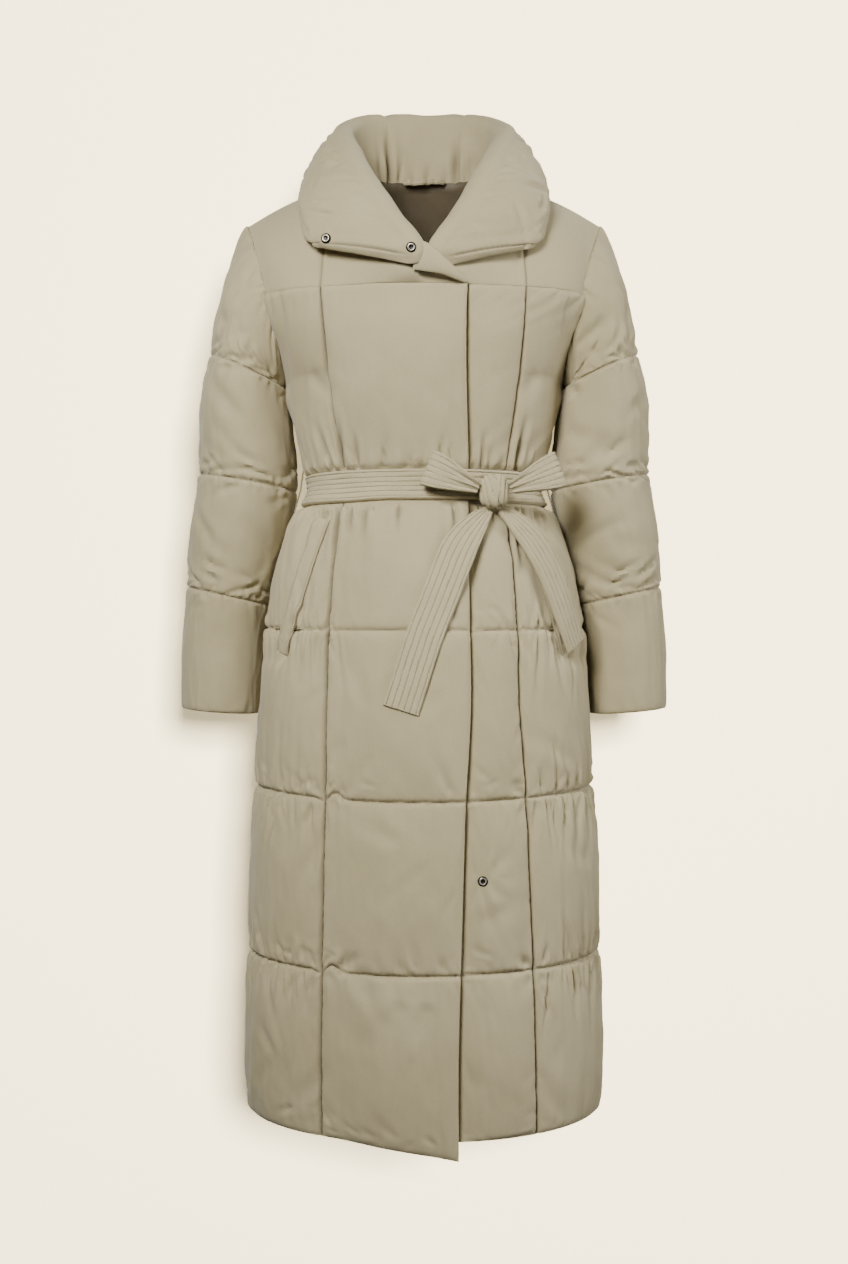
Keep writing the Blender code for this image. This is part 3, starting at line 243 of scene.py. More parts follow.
# Beside the armholes the wall leans over into the sleeve.
for corner, side in ((1, -1), (4, 1)):
    for index, front in ((corner, side < 0), (corner + 1, side > 0)):
        ending = index == corner
        pick = slice(first[index], last[index] + 1)
        amount = share_u[pick] if ending else 1 - share_u[pick]
        edge = -1 if ending else 0
        rim = armhole(arm_share(z), side, -ARM_FRONT if front else ARM_BACK)
        shift = rim - body_in[:, pick][:, edge]
        shift[z < UNDERARM - 1e-6] = (side * 0.0120, 0, 0)
        rise = ease(-0.275, UNDERARM, z)
        body_in[:, pick] += (
            shift[:, None] * (rise[:, None] * ease(0.6, 1.0, amount)[None, :])[..., None]
        )
        blend = (
            ease(0.55, 1.0, amount)[None, :]
            * ((1 - ease(0.15, 0.5, arm_share(z))) * ease(-0.25, UNDERARM, z))[:, None]
        )
        blend[z >= UNDERARM - 1e-6, edge] = 1.0
        turned = armhole_stand(arm_share(z), side, front)
        stand[:, pick] = unit(
            stand[:, pick] * (1 - blend[..., None]) + turned[:, None] * blend[..., None]
        )
        height[:, pick] = SEAM + (height[:, pick] - SEAM) * (1 - 0.75 * blend)

# The right front lies over the left one, and its corner at the hem hangs lower.
lapping = panel == RIGHT_FRONT
body_in = body_in + stand * (LAP_LIFT * ease(-0.105, -0.035, body_in[..., 0]) * lapping)[..., None]
body_in[..., 2] -= (
    0.021 * ease(LOW_QUILT, HEM, z)[:, None] * ((1 - share_u) ** 2 * lapping)[None, :]
)


def lengths_u(p, ring=False):
    """How far it is from each point of a row to the next."""
    q = np.concatenate([p, p[:, :1]], axis=1) if ring else p
    return np.linalg.norm(q[:, 1:] - q[:, :-1], axis=-1)


def along_row(p):
    """How far along its row each point of a grid is."""
    return np.concatenate([np.zeros((len(p), 1)), np.cumsum(lengths_u(p), axis=1)], axis=1)


def waves(seed, a, b, scale_a, scale_b, octaves=3):
    """Smooth seeded unevenness between about -1 and 1 over two coordinates."""
    rng = np.random.default_rng(seed)
    total = np.zeros(np.broadcast(a, b).shape)
    for k in range(octaves):
        for _ in range(4):
            turn, f, g = rng.uniform(0, 2 * math.pi), rng.uniform(0.6, 1.4), rng.uniform(-1.4, 1.4)
            total += np.sin((a / scale_a * f + b / scale_b * g) * 2 * math.pi * 2**k + turn) / 2**k
    return total / 4.0


# Cut sizes: each baffle's cloth is as wide as its fullest part, so it puckers beside the seams, and
# wider at the waist, where the belt gathers it.
run_u = along_row(body_in)
plump = waves(5, run_u, z[:, None], 0.16, 0.13)
share_high = np.clip((height - EDGE) / (FULL - EDGE), 0, 1)
body_out = body_in + stand * (height + 0.0014 * plump * share_high)[..., None]
full_face = body_in + stand * (SEAM + (FULL - SEAM) * 0.95)
waist = mound(z - WAIST, 0.085)
bare_u = lengths_u(body_out)
cut_u = np.clip(lengths_u(full_face) * (1.01 + 0.04 * waist[:, None]), bare_u, bare_u * 1.14)
free = np.ones((rows, cols))
free[body_seam] = 0
free[(z >= BELT_LOW - 1e-6) & (z <= BELT_HIGH + 1e-6)] = 0
for f, l in zip(first, last):
    free[:, (f, l)] = 0
free[:, panel == UNDER_LAP] = 0


def normals(p, ring=False):
    """The way out of a grid of points at each of them."""
    along = np.gradient(p, axis=0)
    if ring:
        across = np.roll(p, -1, axis=1) - np.roll(p, 1, axis=1)
    else:
        across = np.gradient(p, axis=1)
    return unit(np.cross(across, along))


def lengths_v(p):
    """How far it is from each row to the next."""
    return np.linalg.norm(p[1:] - p[:-1], axis=-1)


def settle(
    start, free, rest_u, rest_v, push, outward, rounds, bend=0.016, ring=False, give=0.4, shear=0.16
):
    """Lets a filled sheet find its puckers: the cloth keeps its cut lengths, the filling pushes it
    out, and its seams hold it where free is 0."""
    p = start.copy()
    w = free[..., None]

    def closed(q):
        return np.concatenate([q, q[:, :1]], axis=1) if ring else q

    def pull(a, b, rest, strength, move_a, move_b):
        d = b - a
        length = np.sqrt(np.einsum("ijk,ijk->ij", d, d))
        d *= (0.5 * strength * (1 - rest / np.maximum(length, 1e-9)))[..., None]
        move_a += d
        move_b -= d

    def stiff(q, axis):
        low, high = (q[:, 2:0:-1], q[:, -2:-4:-1]) if axis else (q[2:0:-1], q[-2:-4:-1])
        if ring and axis:
            low, high = q[:, -2:], q[:, :2]
        wide = np.concatenate([low, q, high], axis=axis)
        second = np.diff(wide, 2, axis=axis)
        return np.diff(second, 2, axis=axis)

    if np.sum(normals(start, ring) * outward) < 0:
        push = -push
    rest_down = closed(rest_v)
    scale_u = rest_u / np.maximum(lengths_u(start, ring), 1e-9)
    q = closed(start)
    rest_a = np.linalg.norm(q[1:, 1:] - q[:-1, :-1], axis=-1) * 0.5 * (scale_u[1:] + scale_u[:-1])
    rest_b = np.linalg.norm(q[1:, :-1] - q[:-1, 1:], axis=-1) * 0.5 * (scale_u[1:] + scale_u[:-1])
    for _ in range(rounds):
        q = closed(p)
        move = np.zeros_like(q)
        pull(q[:, :-1], q[:, 1:], rest_u, give, move[:, :-1], move[:, 1:])
        down = np.zeros_like(q)
        pull(q[:-1], q[1:], rest_down, give, down[:-1], down[1:])
        if ring:
            down[:, -1] = 0
        move += down
        pull(q[:-1, :-1], q[1:, 1:], rest_a, shear, move[:-1, :-1], move[1:, 1:])
        pull(q[:-1, 1:], q[1:, :-1], rest_b, shear, move[:-1, 1:], move[1:, :-1])
        if ring:
            move[:, 0] += move[:, -1]
            move = move[:, :-1]
        away = p - start
        move -= bend * (stiff(away, 0) + stiff(away, 1))
        p = p + w * (move + push * normals(p, ring))
    return p


ripple = waves(3, run_u, z[:, None], 0.024, 0.16, 2)
begin = body_out + stand * (0.0009 * ripple * free)[..., None]
body_face = settle(
    begin, free, cut_u, lengths_v(body_out), 0.000004, stand, 400
)
body_face = body_out + np.clip(body_face - body_out, -0.003, 0.003)


def troughs(a, b, lines, shoulder=0.3):
    """How deep soft creases lie over two coordinates in metres: each starts at a place, runs to
    another and fades out on its way, and has a width and a depth. Less than 0 is a ridge."""
    total = np.zeros(a.shape)
    for a0, b0, a1, b1, width, depth in lines:
        length = math.hypot(a1 - a0, b1 - b0)
        reach = 3.2 * width
        near = (
            (a > min(a0, a1) - reach) & (a < max(a0, a1) + reach) & (b > min(b0, b1) - reach)
            & (b < max(b0, b1) + reach)
        )
        if not near.any():
            continue
        pa, pb = a[near] - a0, b[near] - b0
        ua, ub = (a1 - a0) / length, (b1 - b0) / length
        t = (pa * ua + pb * ub) / length
        off = np.abs(pa * ub - pb * ua) / (width * (0.7 + 0.6 * np.clip(t, 0, 1)))
        fade = ease(-0.12, 0.1, t) * (1 - ease(0.25, 1.05, t))
        total[near] += depth * fade * (np.exp(-(off**2)) - shoulder * np.exp(-((off - 1.9) ** 2)))
    return total


def puckers(seed, places, strength, toward, gap, reach, width, depth, slant=0.25):
    """Seeded short creases that fan out from a seam: (seam place, start, along) by turns."""
    rng = np.random.default_rng(seed)
    lines = []
    for fixed, low, high in places:
        at = low + rng.uniform(0.2, 0.9) * gap
        while at < high:
            much = float(strength(at, fixed))
            run = reach * rng.uniform(0.45, 1.25) * (0.55 + 0.45 * much)
            lean = slant * rng.normal() * run
            deep = depth * rng.uniform(0.35, 1.2) * much
            lines.append((
                at, fixed + toward * 0.001, at + lean, fixed + toward * run,
                width * rng.uniform(0.7, 1.4), deep
            ))
            at += gap * rng.uniform(0.5, 1.6)
    return lines


def crumples(seed, span_a, span_b, count, length, width, depth, tilt=(0.2, 1.2)):
    """Seeded loose creases that cross an area at a slant, some one way and some the other."""
    rng = np.random.default_rng(seed)
    lines = []
    for _ in range(count):
        a, b = rng.uniform(*span_a), rng.uniform(*span_b)
        lean = rng.choice([-1, 1]) * rng.uniform(*tilt)
        run = length * rng.uniform(0.5, 1.3)
        lines.append((
            a, b, a + run * math.cos(lean), b + run * math.sin(lean), width * rng.uniform(0.7, 1.4),
            depth * rng.uniform(0.4, 1.1)
        ))
    return lines


# Puckers that fan out from the quilt lines, most where the coat turns round the sides, the pleats
# that the belt draws in, the tucks where seams cross, and the pulls round the lower stud.
bend_at = np.abs(np.sin(phi[rows // 2]))
line_u = run_u[rows // 2]
flat_u = np.broadcast_to(line_u, (rows, cols))
flat_z = np.broadcast_to(z[:, None], (rows, cols))


def round_sides(at, fixed):
    """Puckers are strongest where the coat turns round the sides."""
    return 0.28 + 0.72 * ease(0.30, 0.72, np.interp(at, line_u, bend_at))


def sides_only(at, fixed):
    """The same, but next to nothing in front and behind."""
    return round_sides(at, fixed) - 0.2


def even(much):
    """Puckers that are as strong all the way round."""
    return lambda at, fixed: much


def along_line(s):
    """A seam all the way round at one height."""
    return (s, 0.0, line_u[-1])


quilted = [along_line(s) for s in (LOW_QUILT, MID_QUILT, TOP_QUILT)]
fans = [  # the seams, how strong, seed, way up or down, gap, reach, width, depth, slant
    (quilted, round_sides, 11, 1, 0.0080, 0.042, 0.0026, 0.0026, 0.25),
    (quilted, round_sides, 12, -1, 0.0082, 0.052, 0.0026, 0.0028, 0.25),
    (quilted, sides_only, 16, -1, 0.0160, 0.100, 0.0036, 0.0052, 0.18),
    (quilted, sides_only, 17, 1, 0.0180, 0.085, 0.0036, 0.0046, 0.22),
    (quilted, even(0.7), 18, -1, 0.0060, 0.013, 0.0024, 0.0011, 0.3),
    (quilted, even(0.7), 19, 1, 0.0064, 0.012, 0.0024, 0.0011, 0.3),
    ([along_line(HEM)], even(0.5), 15, 1, 0.020, 0.030, 0.0040, 0.0018, 0.25),
    ([along_line(BELT_HIGH)], even(0.85), 13, 1, 0.026, 0.048, 0.0040, 0.0044, 0.16),
    ([along_line(BELT_LOW)], even(0.85), 14, -1, 0.028, 0.056, 0.0040, 0.0044, 0.16),
]
body_lines = []
for where, strength, seed, *fan in fans:
    body_lines += puckers(seed, where, strength, *fan)
for index, (low, high, _, _) in enumerate(courses[:4]):
    body_lines += crumples(
        120 + index, (0.0, line_u[-1]), (low + 0.01, high - 0.04), 24, 0.080, 0.0080, 0.0026,
        (0.5, 1.3)
    )
    body_lines += crumples(
        130 + index, (0.0, line_u[-1]), (low + 0.004, low + 0.030), 30, 0.030, 0.0036, 0.0018,
        (0.15, 0.9)
    )
body_lines += crumples(141, (0.02, 0.14), (-1.12, -0.97), 5, 0.110, 0.0110, 0.0032, (0.9, 1.3))
tucks = [  # way along the line, run, rise, width, depth
    (1, 0.020, 0.024, 0.0050, 0.0042),
    (-1, 0.016, 0.020, 0.0045, 0.0034),
    (1, 0.012, -0.030, 0.0046, 0.0036),
    (-1, 0.022, -0.022, 0.0050, 0.0030),
]
for corner in (1, 3, 4, 6):
    at = line_u[first[corner]]
    for s in (LOW_QUILT, MID_QUILT):
        for way, run, rise, wide, deep in tucks:
            body_lines.append((
                at + way * 0.002, s + math.copysign(0.002, rise), at + way * run, s + rise, wide,
                deep
            ))
depth = troughs(flat_u, flat_z, body_lines)
for corner in (1, 2, 3, 4, 5, 6):
    ticks = puckers(
        20 + corner, [(0.0, HEM, YOKE)], lambda at, fixed: 0.8 if at < BELT_LOW else 0.25, 1, 0.017,
        0.020, 0.0030, 0.0018, 0.8
    )
    for way in (-1, 1):
        here = [(way * b, a, way * d, c, w, h) for a, b, c, d, w, h in ticks[way > 0 :: 2]]
        depth += troughs(flat_u - line_u[first[corner]], flat_z, here)
front_x, front_z = body_face[..., 0], body_face[..., 2]
facing = body_face[..., 1] < 0
# Creases listed one by one: where each starts, where it ends, its width and its depth.
snap_pulls = [
    (0.0745, -0.830, 0.108, -0.792, 0.0050, 0.0030),
    (0.0745, -0.836, 0.112, -0.866, 0.0050, 0.0028),
    (0.0690, -0.829, 0.072, -0.780, 0.0042, 0.0022),
    (0.0700, -0.840, 0.083, -0.905, 0.0046, 0.0024),
    (0.0650, -0.838, 0.052, -0.872, 0.0040, 0.0020),
    (0.0640, -0.831, 0.050, -0.806, 0.0040, 0.0016),
    (0.0750, -0.833, 0.120, -0.829, 0.0045, 0.0018),
]
left_front = facing * (panel >= LEFT_FRONT)[None, :]
depth += troughs(front_x, front_z, snap_pulls) * left_front
chest_folds = [
    (-0.098, -0.340, -0.108, -0.272, 0.0034, 0.0075),
    (-0.080, -0.340, -0.086, -0.290, 0.0033, 0.0063),
    (-0.112, -0.340, -0.136, -0.280, 0.0037, 0.0063),
    (-0.050, -0.340, -0.046, -0.300, 0.0037, 0.0042),
    (0.016, -0.340, 0.026, -0.290, 0.0037, 0.0045),
    (-0.018, -0.340, -0.010, -0.312, 0.0034, 0.0032),
    (0.112, -0.340, 0.128, -0.270, 0.0035, 0.0070),
    (0.070, -0.340, 0.074, -0.290, 0.0034, 0.0050),
    (-0.104, -0.390, -0.112, -0.460, 0.0034, 0.0075),
    (-0.088, -0.390, -0.092, -0.432, 0.0033, 0.0055),
    (-0.070, -0.390, -0.076, -0.440, 0.0034, 0.0050),
    (-0.120, -0.390, -0.142, -0.440, 0.0034, 0.0060),
    (0.036, -0.390, 0.040, -0.440, 0.0035, 0.0045),
    (0.112, -0.390, 0.122, -0.470, 0.0035, 0.0063),
    (-0.030, -0.390, -0.034, -0.430, 0.0037, 0.0037),
    (0.060, -0.390, 0.058, -0.430, 0.0034, 0.0042),
    (-0.135, -0.225, -0.100, -0.262, 0.0090, 0.0030),
    (0.136, -0.225, 0.112, -0.260, 0.0090, 0.0030),
]
depth += troughs(front_x, front_z, chest_folds) * facing
drags = [
    (-0.008, -0.935, -0.018, -0.885, 0.0045, 0.0024),
    (-0.014, -0.946, -0.036, -0.922, 0.0045, 0.0026),
    (0.036, -0.846, 0.022, -0.876, 0.0038, 0.0020),
    (0.032, -0.730, 0.005, -0.672, 0.0060, 0.0026),
    (-0.104, -0.744, -0.080, -0.712, 0.0050, 0.0026),
    (-0.104, -0.948, -0.078, -0.918, 0.0050, 0.0026),
    (-0.050, -0.945, -0.060, -0.912, 0.0045, 0.0018),
    (0.030, -0.945, 0.012, -0.915, 0.0045, 0.0022),
]
depth += troughs(front_x, front_z, drags) * facing
soft = np.clip(share_high * 3.5, 0, 1)
by_belt = ease(0.0215, 0.026, np.abs(z - WAIST)) * ease(0.075, 0.055, np.abs(z - WAIST))
soft = np.maximum(soft, by_belt[:, None] * (panel != UNDER_LAP)[None, :])
depth = np.minimum(depth * free * soft, 0.75 * height)

# The coat is pressed flatter under the pocket welts.
for side in (-1, 1):
    t = np.clip((-0.392 - front_z) / 0.182, 0, 1)
    off = (front_x - side * (0.1245 + 0.057 * t)) * 0.95
    inside_run = ease(-0.586, -0.570, front_z) * (1 - ease(-0.396, -0.388, front_z))
    depth += 0.0050 * np.exp(-((off / 0.019) ** 4)) * inside_run * facing * free
body_face = body_face - stand * depth[..., None]

# A narrow crease along every seam, marks for the stitches' small puckers, and a dark line along the
# seams, partly the thread and partly painted shade in the crease.
creases = np.array([LOW_QUILT, MID_QUILT, TOP_QUILT, YOKE])
to_row = np.min(np.abs(z[:, None] - creases[None, :]), axis=1)
line_depth = np.interp(z, [-0.70, -0.60, -0.45, -0.30], [1.0, 0.35, 0.30, 0.05])
to_column = np.min(np.abs(run_u[:, :, None] - run_u[:, first[1:7]][:, None, :]), axis=2)
marks = {
    "by_row": (line_depth * 0.8 * mound(to_row, 0.0055))[:, None] * np.ones((1, cols)),
    "by_column": 0.3 * mound(to_column, 0.0045),
    "thread_and_shade": np.maximum(
        ((to_row < 0.0004) * (0.08 + 0.32 * line_depth))[:, None],
        np.where(z > BELT_HIGH, 0.65, 0.95)[:, None] * mound(to_column, 0.0012)
    ),
}
# Painted shade in the cores of the folds beside the belt, laid into the same dark mark.
painted_fold_shade = (
    troughs(front_x, front_z, chest_folds) * facing
    * ease(0.0215, 0.024, np.abs(z - WAIST))[:, None]
)
marks["thread_and_shade"] = np.maximum(
    marks["thread_and_shade"], 0.50 * np.clip(painted_fold_shade / 0.0040 - 0.20, 0, 1) * (z > -0.47)[:, None]
)
uneven = 1 + 0.5 * waves(25, run_u, z[:, None], 0.009, 0.012, 1)
groove_row = (0.0003 + 0.0020 * line_depth)[:, None] * mound(to_row, 0.0026)[:, None] * uneven
groove_column = (
    np.where(z < BELT_LOW, 0.0042, 0.0024)[:, None] * mound(to_column, 0.0023) * (1 - 0.9 * belted)
    * uneven
)
groove = np.maximum(groove_row, groove_column)
groove = np.minimum(groove, np.maximum(height - 0.0016, 0)) * (panel != UNDER_LAP)[None, :]
groove[0] *= 0.3
body_face = body_face - stand * groove[..., None]

# Where the quilt lines meet the long seams the cloth is pinched, so the line kinks up beside them.
for corner, way in ((1, -1), (3, 1)):
    seam_at = run_u[:, first[corner]][:, None]
    for s in (LOW_QUILT, MID_QUILT):
        near_line = mound(z - s, 0.026)[:, None]
        inner = (run_u - seam_at) * way
        kink = 0.0075 * mound(inner - 0.013, 0.0095) - 0.0035 * mound(inner + 0.002, 0.008)
        body_face[..., 2] += kink * near_line * (panel != UNDER_LAP)[None, :]


def draw_in(p, by, rows=(True, True), columns=(True, True)):
    """Draws the chosen sides of a grid in, so that two cloths don't meet inside a seam."""
    q = p.copy()
    if rows[0]:
        q[0] += by * unit(p[1] - p[0])
    if rows[1]:
        q[-1] += by * unit(p[-2] - p[-1])
    if columns[0]:
        q[:, 0] += by * unit(p[:, 1] - p[:, 0])
    if columns[1]:
        q[:, -1] += by * unit(p[:, -2] - p[:, -1])
    return q


def wall(name, inside, outside, material, ring=False, sharp=60, marks=None):
    """A closed wall between two grids of points, with its cut sizes as UVs in metres. Marks say how
    near each outer point is to a seam along a row or along a column, and how far its colour goes to
    the dark line colour, for the thread and for painted shade in creases."""
    rows, cols = inside.shape[:2]
    around = cols if ring else cols - 1
    j = np.arange(around)
    k = (j + 1) % cols
    i = np.arange(rows - 1)[:, None]
    n = rows * cols
    outer = np.stack([i * cols + j, i * cols + k, (i + 1) * cols + k, (i + 1) * cols + j], -1)
    inner = (outer + n)[..., ::-1]
    quads = [outer.reshape(-1, 4), inner.reshape(-1, 4)]
    top = (rows - 1) * cols
    quads.append(np.stack([j + n, k + n, k, j], -1))
    quads.append(np.stack([top + j, top + k, top + k + n, top + j + n], -1))
    if not ring:
        r = np.arange(rows - 1) * cols
        quads.append(np.stack([r, r + cols, r + cols + n, r + n], -1))
        r = r + cols - 1
        quads.append(np.stack([r + n, r + cols + n, r + cols, r], -1))
    faces = np.concatenate(quads)
    points = np.concatenate([outside.reshape(-1, 3), inside.reshape(-1, 3)])
    mesh = bpy.data.meshes.new(name)
    mesh.from_pydata(points.tolist(), [], faces.tolist())
    check = bmesh.new()
    check.from_mesh(mesh)
    if check.calc_volume(signed=True) < 0:
        bmesh.ops.reverse_faces(check, faces=check.faces)
    check.to_mesh(mesh)
    check.free()
    u = np.zeros((rows, cols + 1))
    u[:, 1 : around + 1] = np.cumsum(lengths_u(outside, ring), axis=1)
    v = np.zeros((rows, cols + 1))
    v[1:, :cols] = np.cumsum(lengths_v(outside), axis=0)
    v[:, cols] = v[:, 0]
    centre = np.mean(u, axis=0, keepdims=True)
    flat_u = (0.7 * centre + 0.3 * u)[:, :cols].reshape(-1)
    flat_v = v[:, :cols].reshape(-1)
    layer = mesh.uv_layers.new(name="cut")
    loops = np.empty(len(mesh.loops), dtype=np.int64)
    mesh.loops.foreach_get("vertex_index", loops)
    uv = np.stack([np.tile(flat_u, 2)[loops], np.tile(flat_v, 2)[loops]], -1)
    layer.data.foreach_set("uv", uv.reshape(-1).astype(np.float32))
    for mark, values in (marks or {}).items():
        held = mesh.attributes.new(mark, "FLOAT", "POINT")
        both = np.concatenate([
            np.broadcast_to(values, (rows, cols)).reshape(-1), np.zeros(rows * cols)
        ])
        held.data.foreach_set("value", both.astype(np.float32))
    mesh.shade_smooth()
    mesh.set_sharp_from_angle(angle=math.radians(sharp))
    mesh.materials.append(material)
    piece = bpy.data.objects.new(name, mesh)
    scene.collection.objects.link(piece)
    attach(piece, "root")
    return piece


def linear(code):
    """An sRGB hex colour as the linear values that a shader takes."""
    parts = [int(code[i : i + 2], 16) / 255 for i in (1, 3, 5)]
    return tuple(c / 12.92 if c < 0.04045 else ((c + 0.055) / 1.055) ** 2.4 for c in parts) + (1.0,)


def node(tree, kind, settings=None, **links):
    """Adds a node, sets its properties and inputs, and links sockets given by name."""
    made = tree.nodes.new(kind)
    for key, value in (settings or {}).items():
        if isinstance(key, str) and hasattr(made, key):
            setattr(made, key, value)
        else:
            made.inputs[key].default_value = value
    for key, source in links.items():
        tree.links.new(
            source, made.inputs[int(key[1:]) if key[1:].isdigit() else key.replace("_", " ")]
        )
    return made


def cloth(name, colour, dark, weave_mm=0.8, roughness=0.88, sheen=0.18, grain=0.3, line="#5E5445"):
    """A fine plain weave with faint unevenness of dye, a soft sheen, the stitches' small puckers,
    and a dark line along its seams, partly the thread's colour and partly painted shade in their
    creases."""
    material = bpy.data.materials.new(name)
    material.use_nodes = True
    tree = material.node_tree
    shader = tree.nodes["Principled BSDF"]
    shader.inputs["Roughness"].default_value = roughness
    shader.inputs["Sheen Weight"].default_value = sheen
    shader.inputs["Sheen Roughness"].default_value = 0.55
    shader.inputs["Specular IOR Level"].default_value = 0.25
    uv = node(tree, "ShaderNodeUVMap", {"uv_map": "cut"})
    place = node(tree, "ShaderNodeTexCoord")
    repeat = 0.314  # metres from band to band in a wave texture of scale 1
    pitch = repeat / (weave_mm / 1000)
    warp = node(
        tree, "ShaderNodeTexWave",
        {"bands_direction": "X", "Scale": pitch, "Distortion": 0.6, "Detail": 1.0},
        Vector=uv.outputs[0]
    )
    weft = node(
        tree, "ShaderNodeTexWave",
        {"bands_direction": "Y", "Scale": pitch, "Distortion": 0.6, "Detail": 1.0},
        Vector=uv.outputs[0]
    )
    threads = node(
        tree, "ShaderNodeMath", {"operation": "MULTIPLY"}, _0=warp.outputs["Fac"],
        _1=weft.outputs["Fac"]
    )
    # Threads of uneven thickness, in spots of 2.4 mm, over clouds of dye 110 mm across.
    slub = node(
        tree, "ShaderNodeTexNoise", {"Scale": 420.0, "Detail": 3.0, "Roughness": 0.6},
        Vector=place.outputs["Object"]
    )
    cloudy = node(
        tree, "ShaderNodeTexNoise", {"Scale": 9.0, "Detail": 3.0}, Vector=place.outputs["Object"]
    )
    mixed = node(
        tree, "ShaderNodeMath", {"operation": "MULTIPLY_ADD", 1: 0.55}, _0=slub.outputs["Fac"],
        _2=cloudy.outputs["Fac"]
    )
    ramp = node(tree, "ShaderNodeValToRGB", None, Fac=mixed.outputs[0])
    ramp.color_ramp.elements[0].position = 0.45
    ramp.color_ramp.elements[0].color = linear(dark)
    ramp.color_ramp.elements[1].position = 1.0
    ramp.color_ramp.elements[1].color = linear(colour)
    by_row = node(tree, "ShaderNodeAttribute", {"attribute_name": "by_row"})
    by_column = node(tree, "ShaderNodeAttribute", {"attribute_name": "by_column"})
    # Where the mark is high the colour goes to the line colour: the thread, and painted shade in
    # the creases of seams and folds.
    thread_and_shade = node(tree, "ShaderNodeAttribute", {"attribute_name": "thread_and_shade"})
    mix = node(tree, "ShaderNodeMix", {"data_type": "RGBA", "blend_type": "MIX"})
    tree.links.new(thread_and_shade.outputs["Fac"], mix.inputs[0])
    tree.links.new(ramp.outputs["Color"], mix.inputs[6])
    mix.inputs[7].default_value = linear(line)
    tree.links.new(mix.outputs[2], shader.inputs["Base Color"])
    # The puckers beside the stitches, about 7 mm apart, and none where the marks are 0.
    ripple_u = node(
        tree, "ShaderNodeTexWave",
        {
            "bands_direction": "X", "Scale": 46.0, "Distortion": 5.0, "Detail": 2.0,
            "Detail Scale": 0.6
        },
        Vector=uv.outputs[0]
    )
    ripple_v = node(
        tree, "ShaderNodeTexWave",
        {
            "bands_direction": "Y", "Scale": 42.0, "Distortion": 5.0, "Detail": 2.0,
            "Detail Scale": 0.6
        },
        Vector=uv.outputs[0]
    )
    along_rows = node(
        tree, "ShaderNodeMath", {"operation": "MULTIPLY"}, _0=ripple_u.outputs["Fac"],
        _1=by_row.outputs["Fac"]
    )
    small = node(
        tree, "ShaderNodeMath", {"operation": "MULTIPLY_ADD"}, _0=ripple_v.outputs["Fac"],
        _1=by_column.outputs["Fac"], _2=along_rows.outputs[0]
    )
    ripples = node(
        tree, "ShaderNodeBump", {"Strength": 1.0, "Distance": 0.0006}, Height=small.outputs[0]
    )
    # Soft unevenness of the filled cloth, 22 mm across.
    soft = node(
        tree, "ShaderNodeTexNoise", {"Scale": 45.0, "Detail": 4.0, "Roughness": 0.55},
        Vector=place.outputs["Object"]
    )
    coarse = node(
        tree, "ShaderNodeBump", {"Strength": 0.12, "Distance": 0.002}, Height=soft.outputs["Fac"],
        Normal=ripples.outputs[0]
    )
    fine = node(
        tree, "ShaderNodeBump", {"Strength": grain, "Distance": 0.0002}, Height=threads.outputs[0],
        Normal=coarse.outputs[0]
    )
    grains = node(
        tree, "ShaderNodeBump", {"Strength": grain, "Distance": 0.0003}, Height=slub.outputs["Fac"],
        Normal=fine.outputs[0]
    )
    tree.links.new(grains.outputs[0], shader.inputs["Normal"])
    return material


# The shell is a matt, fine plain weave, close enough to hold down: it takes an even light with no
# gloss and only a faint sheen where it turns away. Its threads are drawn 0.8 mm apart, coarser
# than the real ones.
shell_cloth = cloth("shell_cloth", "#AEA485", "#A39978")
names = [
    "front_centre_right", "front_side_right", "back_side_right", "back_centre", "back_side_left",
    "front_side_left", "front_centre_left"
]
for index, name in enumerate(names):
    if index == LEFT_FRONT:
        keep = np.r_[first[LEFT_FRONT] : last[LEFT_FRONT], first[UNDER_LAP] : cols]
    else:
        keep = np.r_[first[index] : last[index] + 1]
    ends = (index > 0, index < 6)
    inside = draw_in(body_in[:, keep], SEAM_GAP, (False, True), ends)
    outside = draw_in(body_face[:, keep], SEAM_GAP, (False, True), ends)
    piece = wall(
        name + "_cloth", inside, outside, shell_cloth,
        marks={k: v[:, keep] for k, v in marks.items()}
    )
    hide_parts(name)


# ---- The yokes, from the seam above the chest up to the neckline and the shoulder seam
# They are quilted flatter than the body. The right front one runs on to the lap's corner.

# The collar's stations from its end to the middle of the back: the neck seam, the roll and the
# free edge as points, then how full its wall is and how far it crowns.
collar_stations = np.array([
    (0.012, -0.139, -0.106, 0.003, -0.150, -0.103, 0.132, -0.114, -0.076, 0.012, 0.008),
    (0.020, -0.132, -0.094, 0.006, -0.151, -0.080, 0.145, -0.100, -0.062, 0.020, 0.010),
    (0.046, -0.106, -0.058, 0.035, -0.131, -0.042, 0.150, -0.080, -0.044, 0.024, 0.012),
    (0.069, -0.070, -0.018, 0.065, -0.094, 0.009, 0.153, -0.056, -0.020, 0.025, 0.010),
    (0.083, -0.028, 0.016, 0.088, -0.049, 0.058, 0.152, -0.020, 0.008, 0.023, 0.006),
    (0.087, 0.014, 0.036, 0.101, -0.002, 0.094, 0.147, 0.022, 0.028, 0.021, 0.004),
    (0.076, 0.050, 0.040, 0.088, 0.046, 0.120, 0.128, 0.066, 0.028, 0.020, 0.007),
    (0.043, 0.075, 0.041, 0.050, 0.078, 0.1345, 0.076, 0.101, 0.023, 0.019, 0.008),
    (0.000, 0.081, 0.041, 0.000, 0.087, 0.1360, 0.000, 0.112, 0.021, 0.019, 0.008),
])


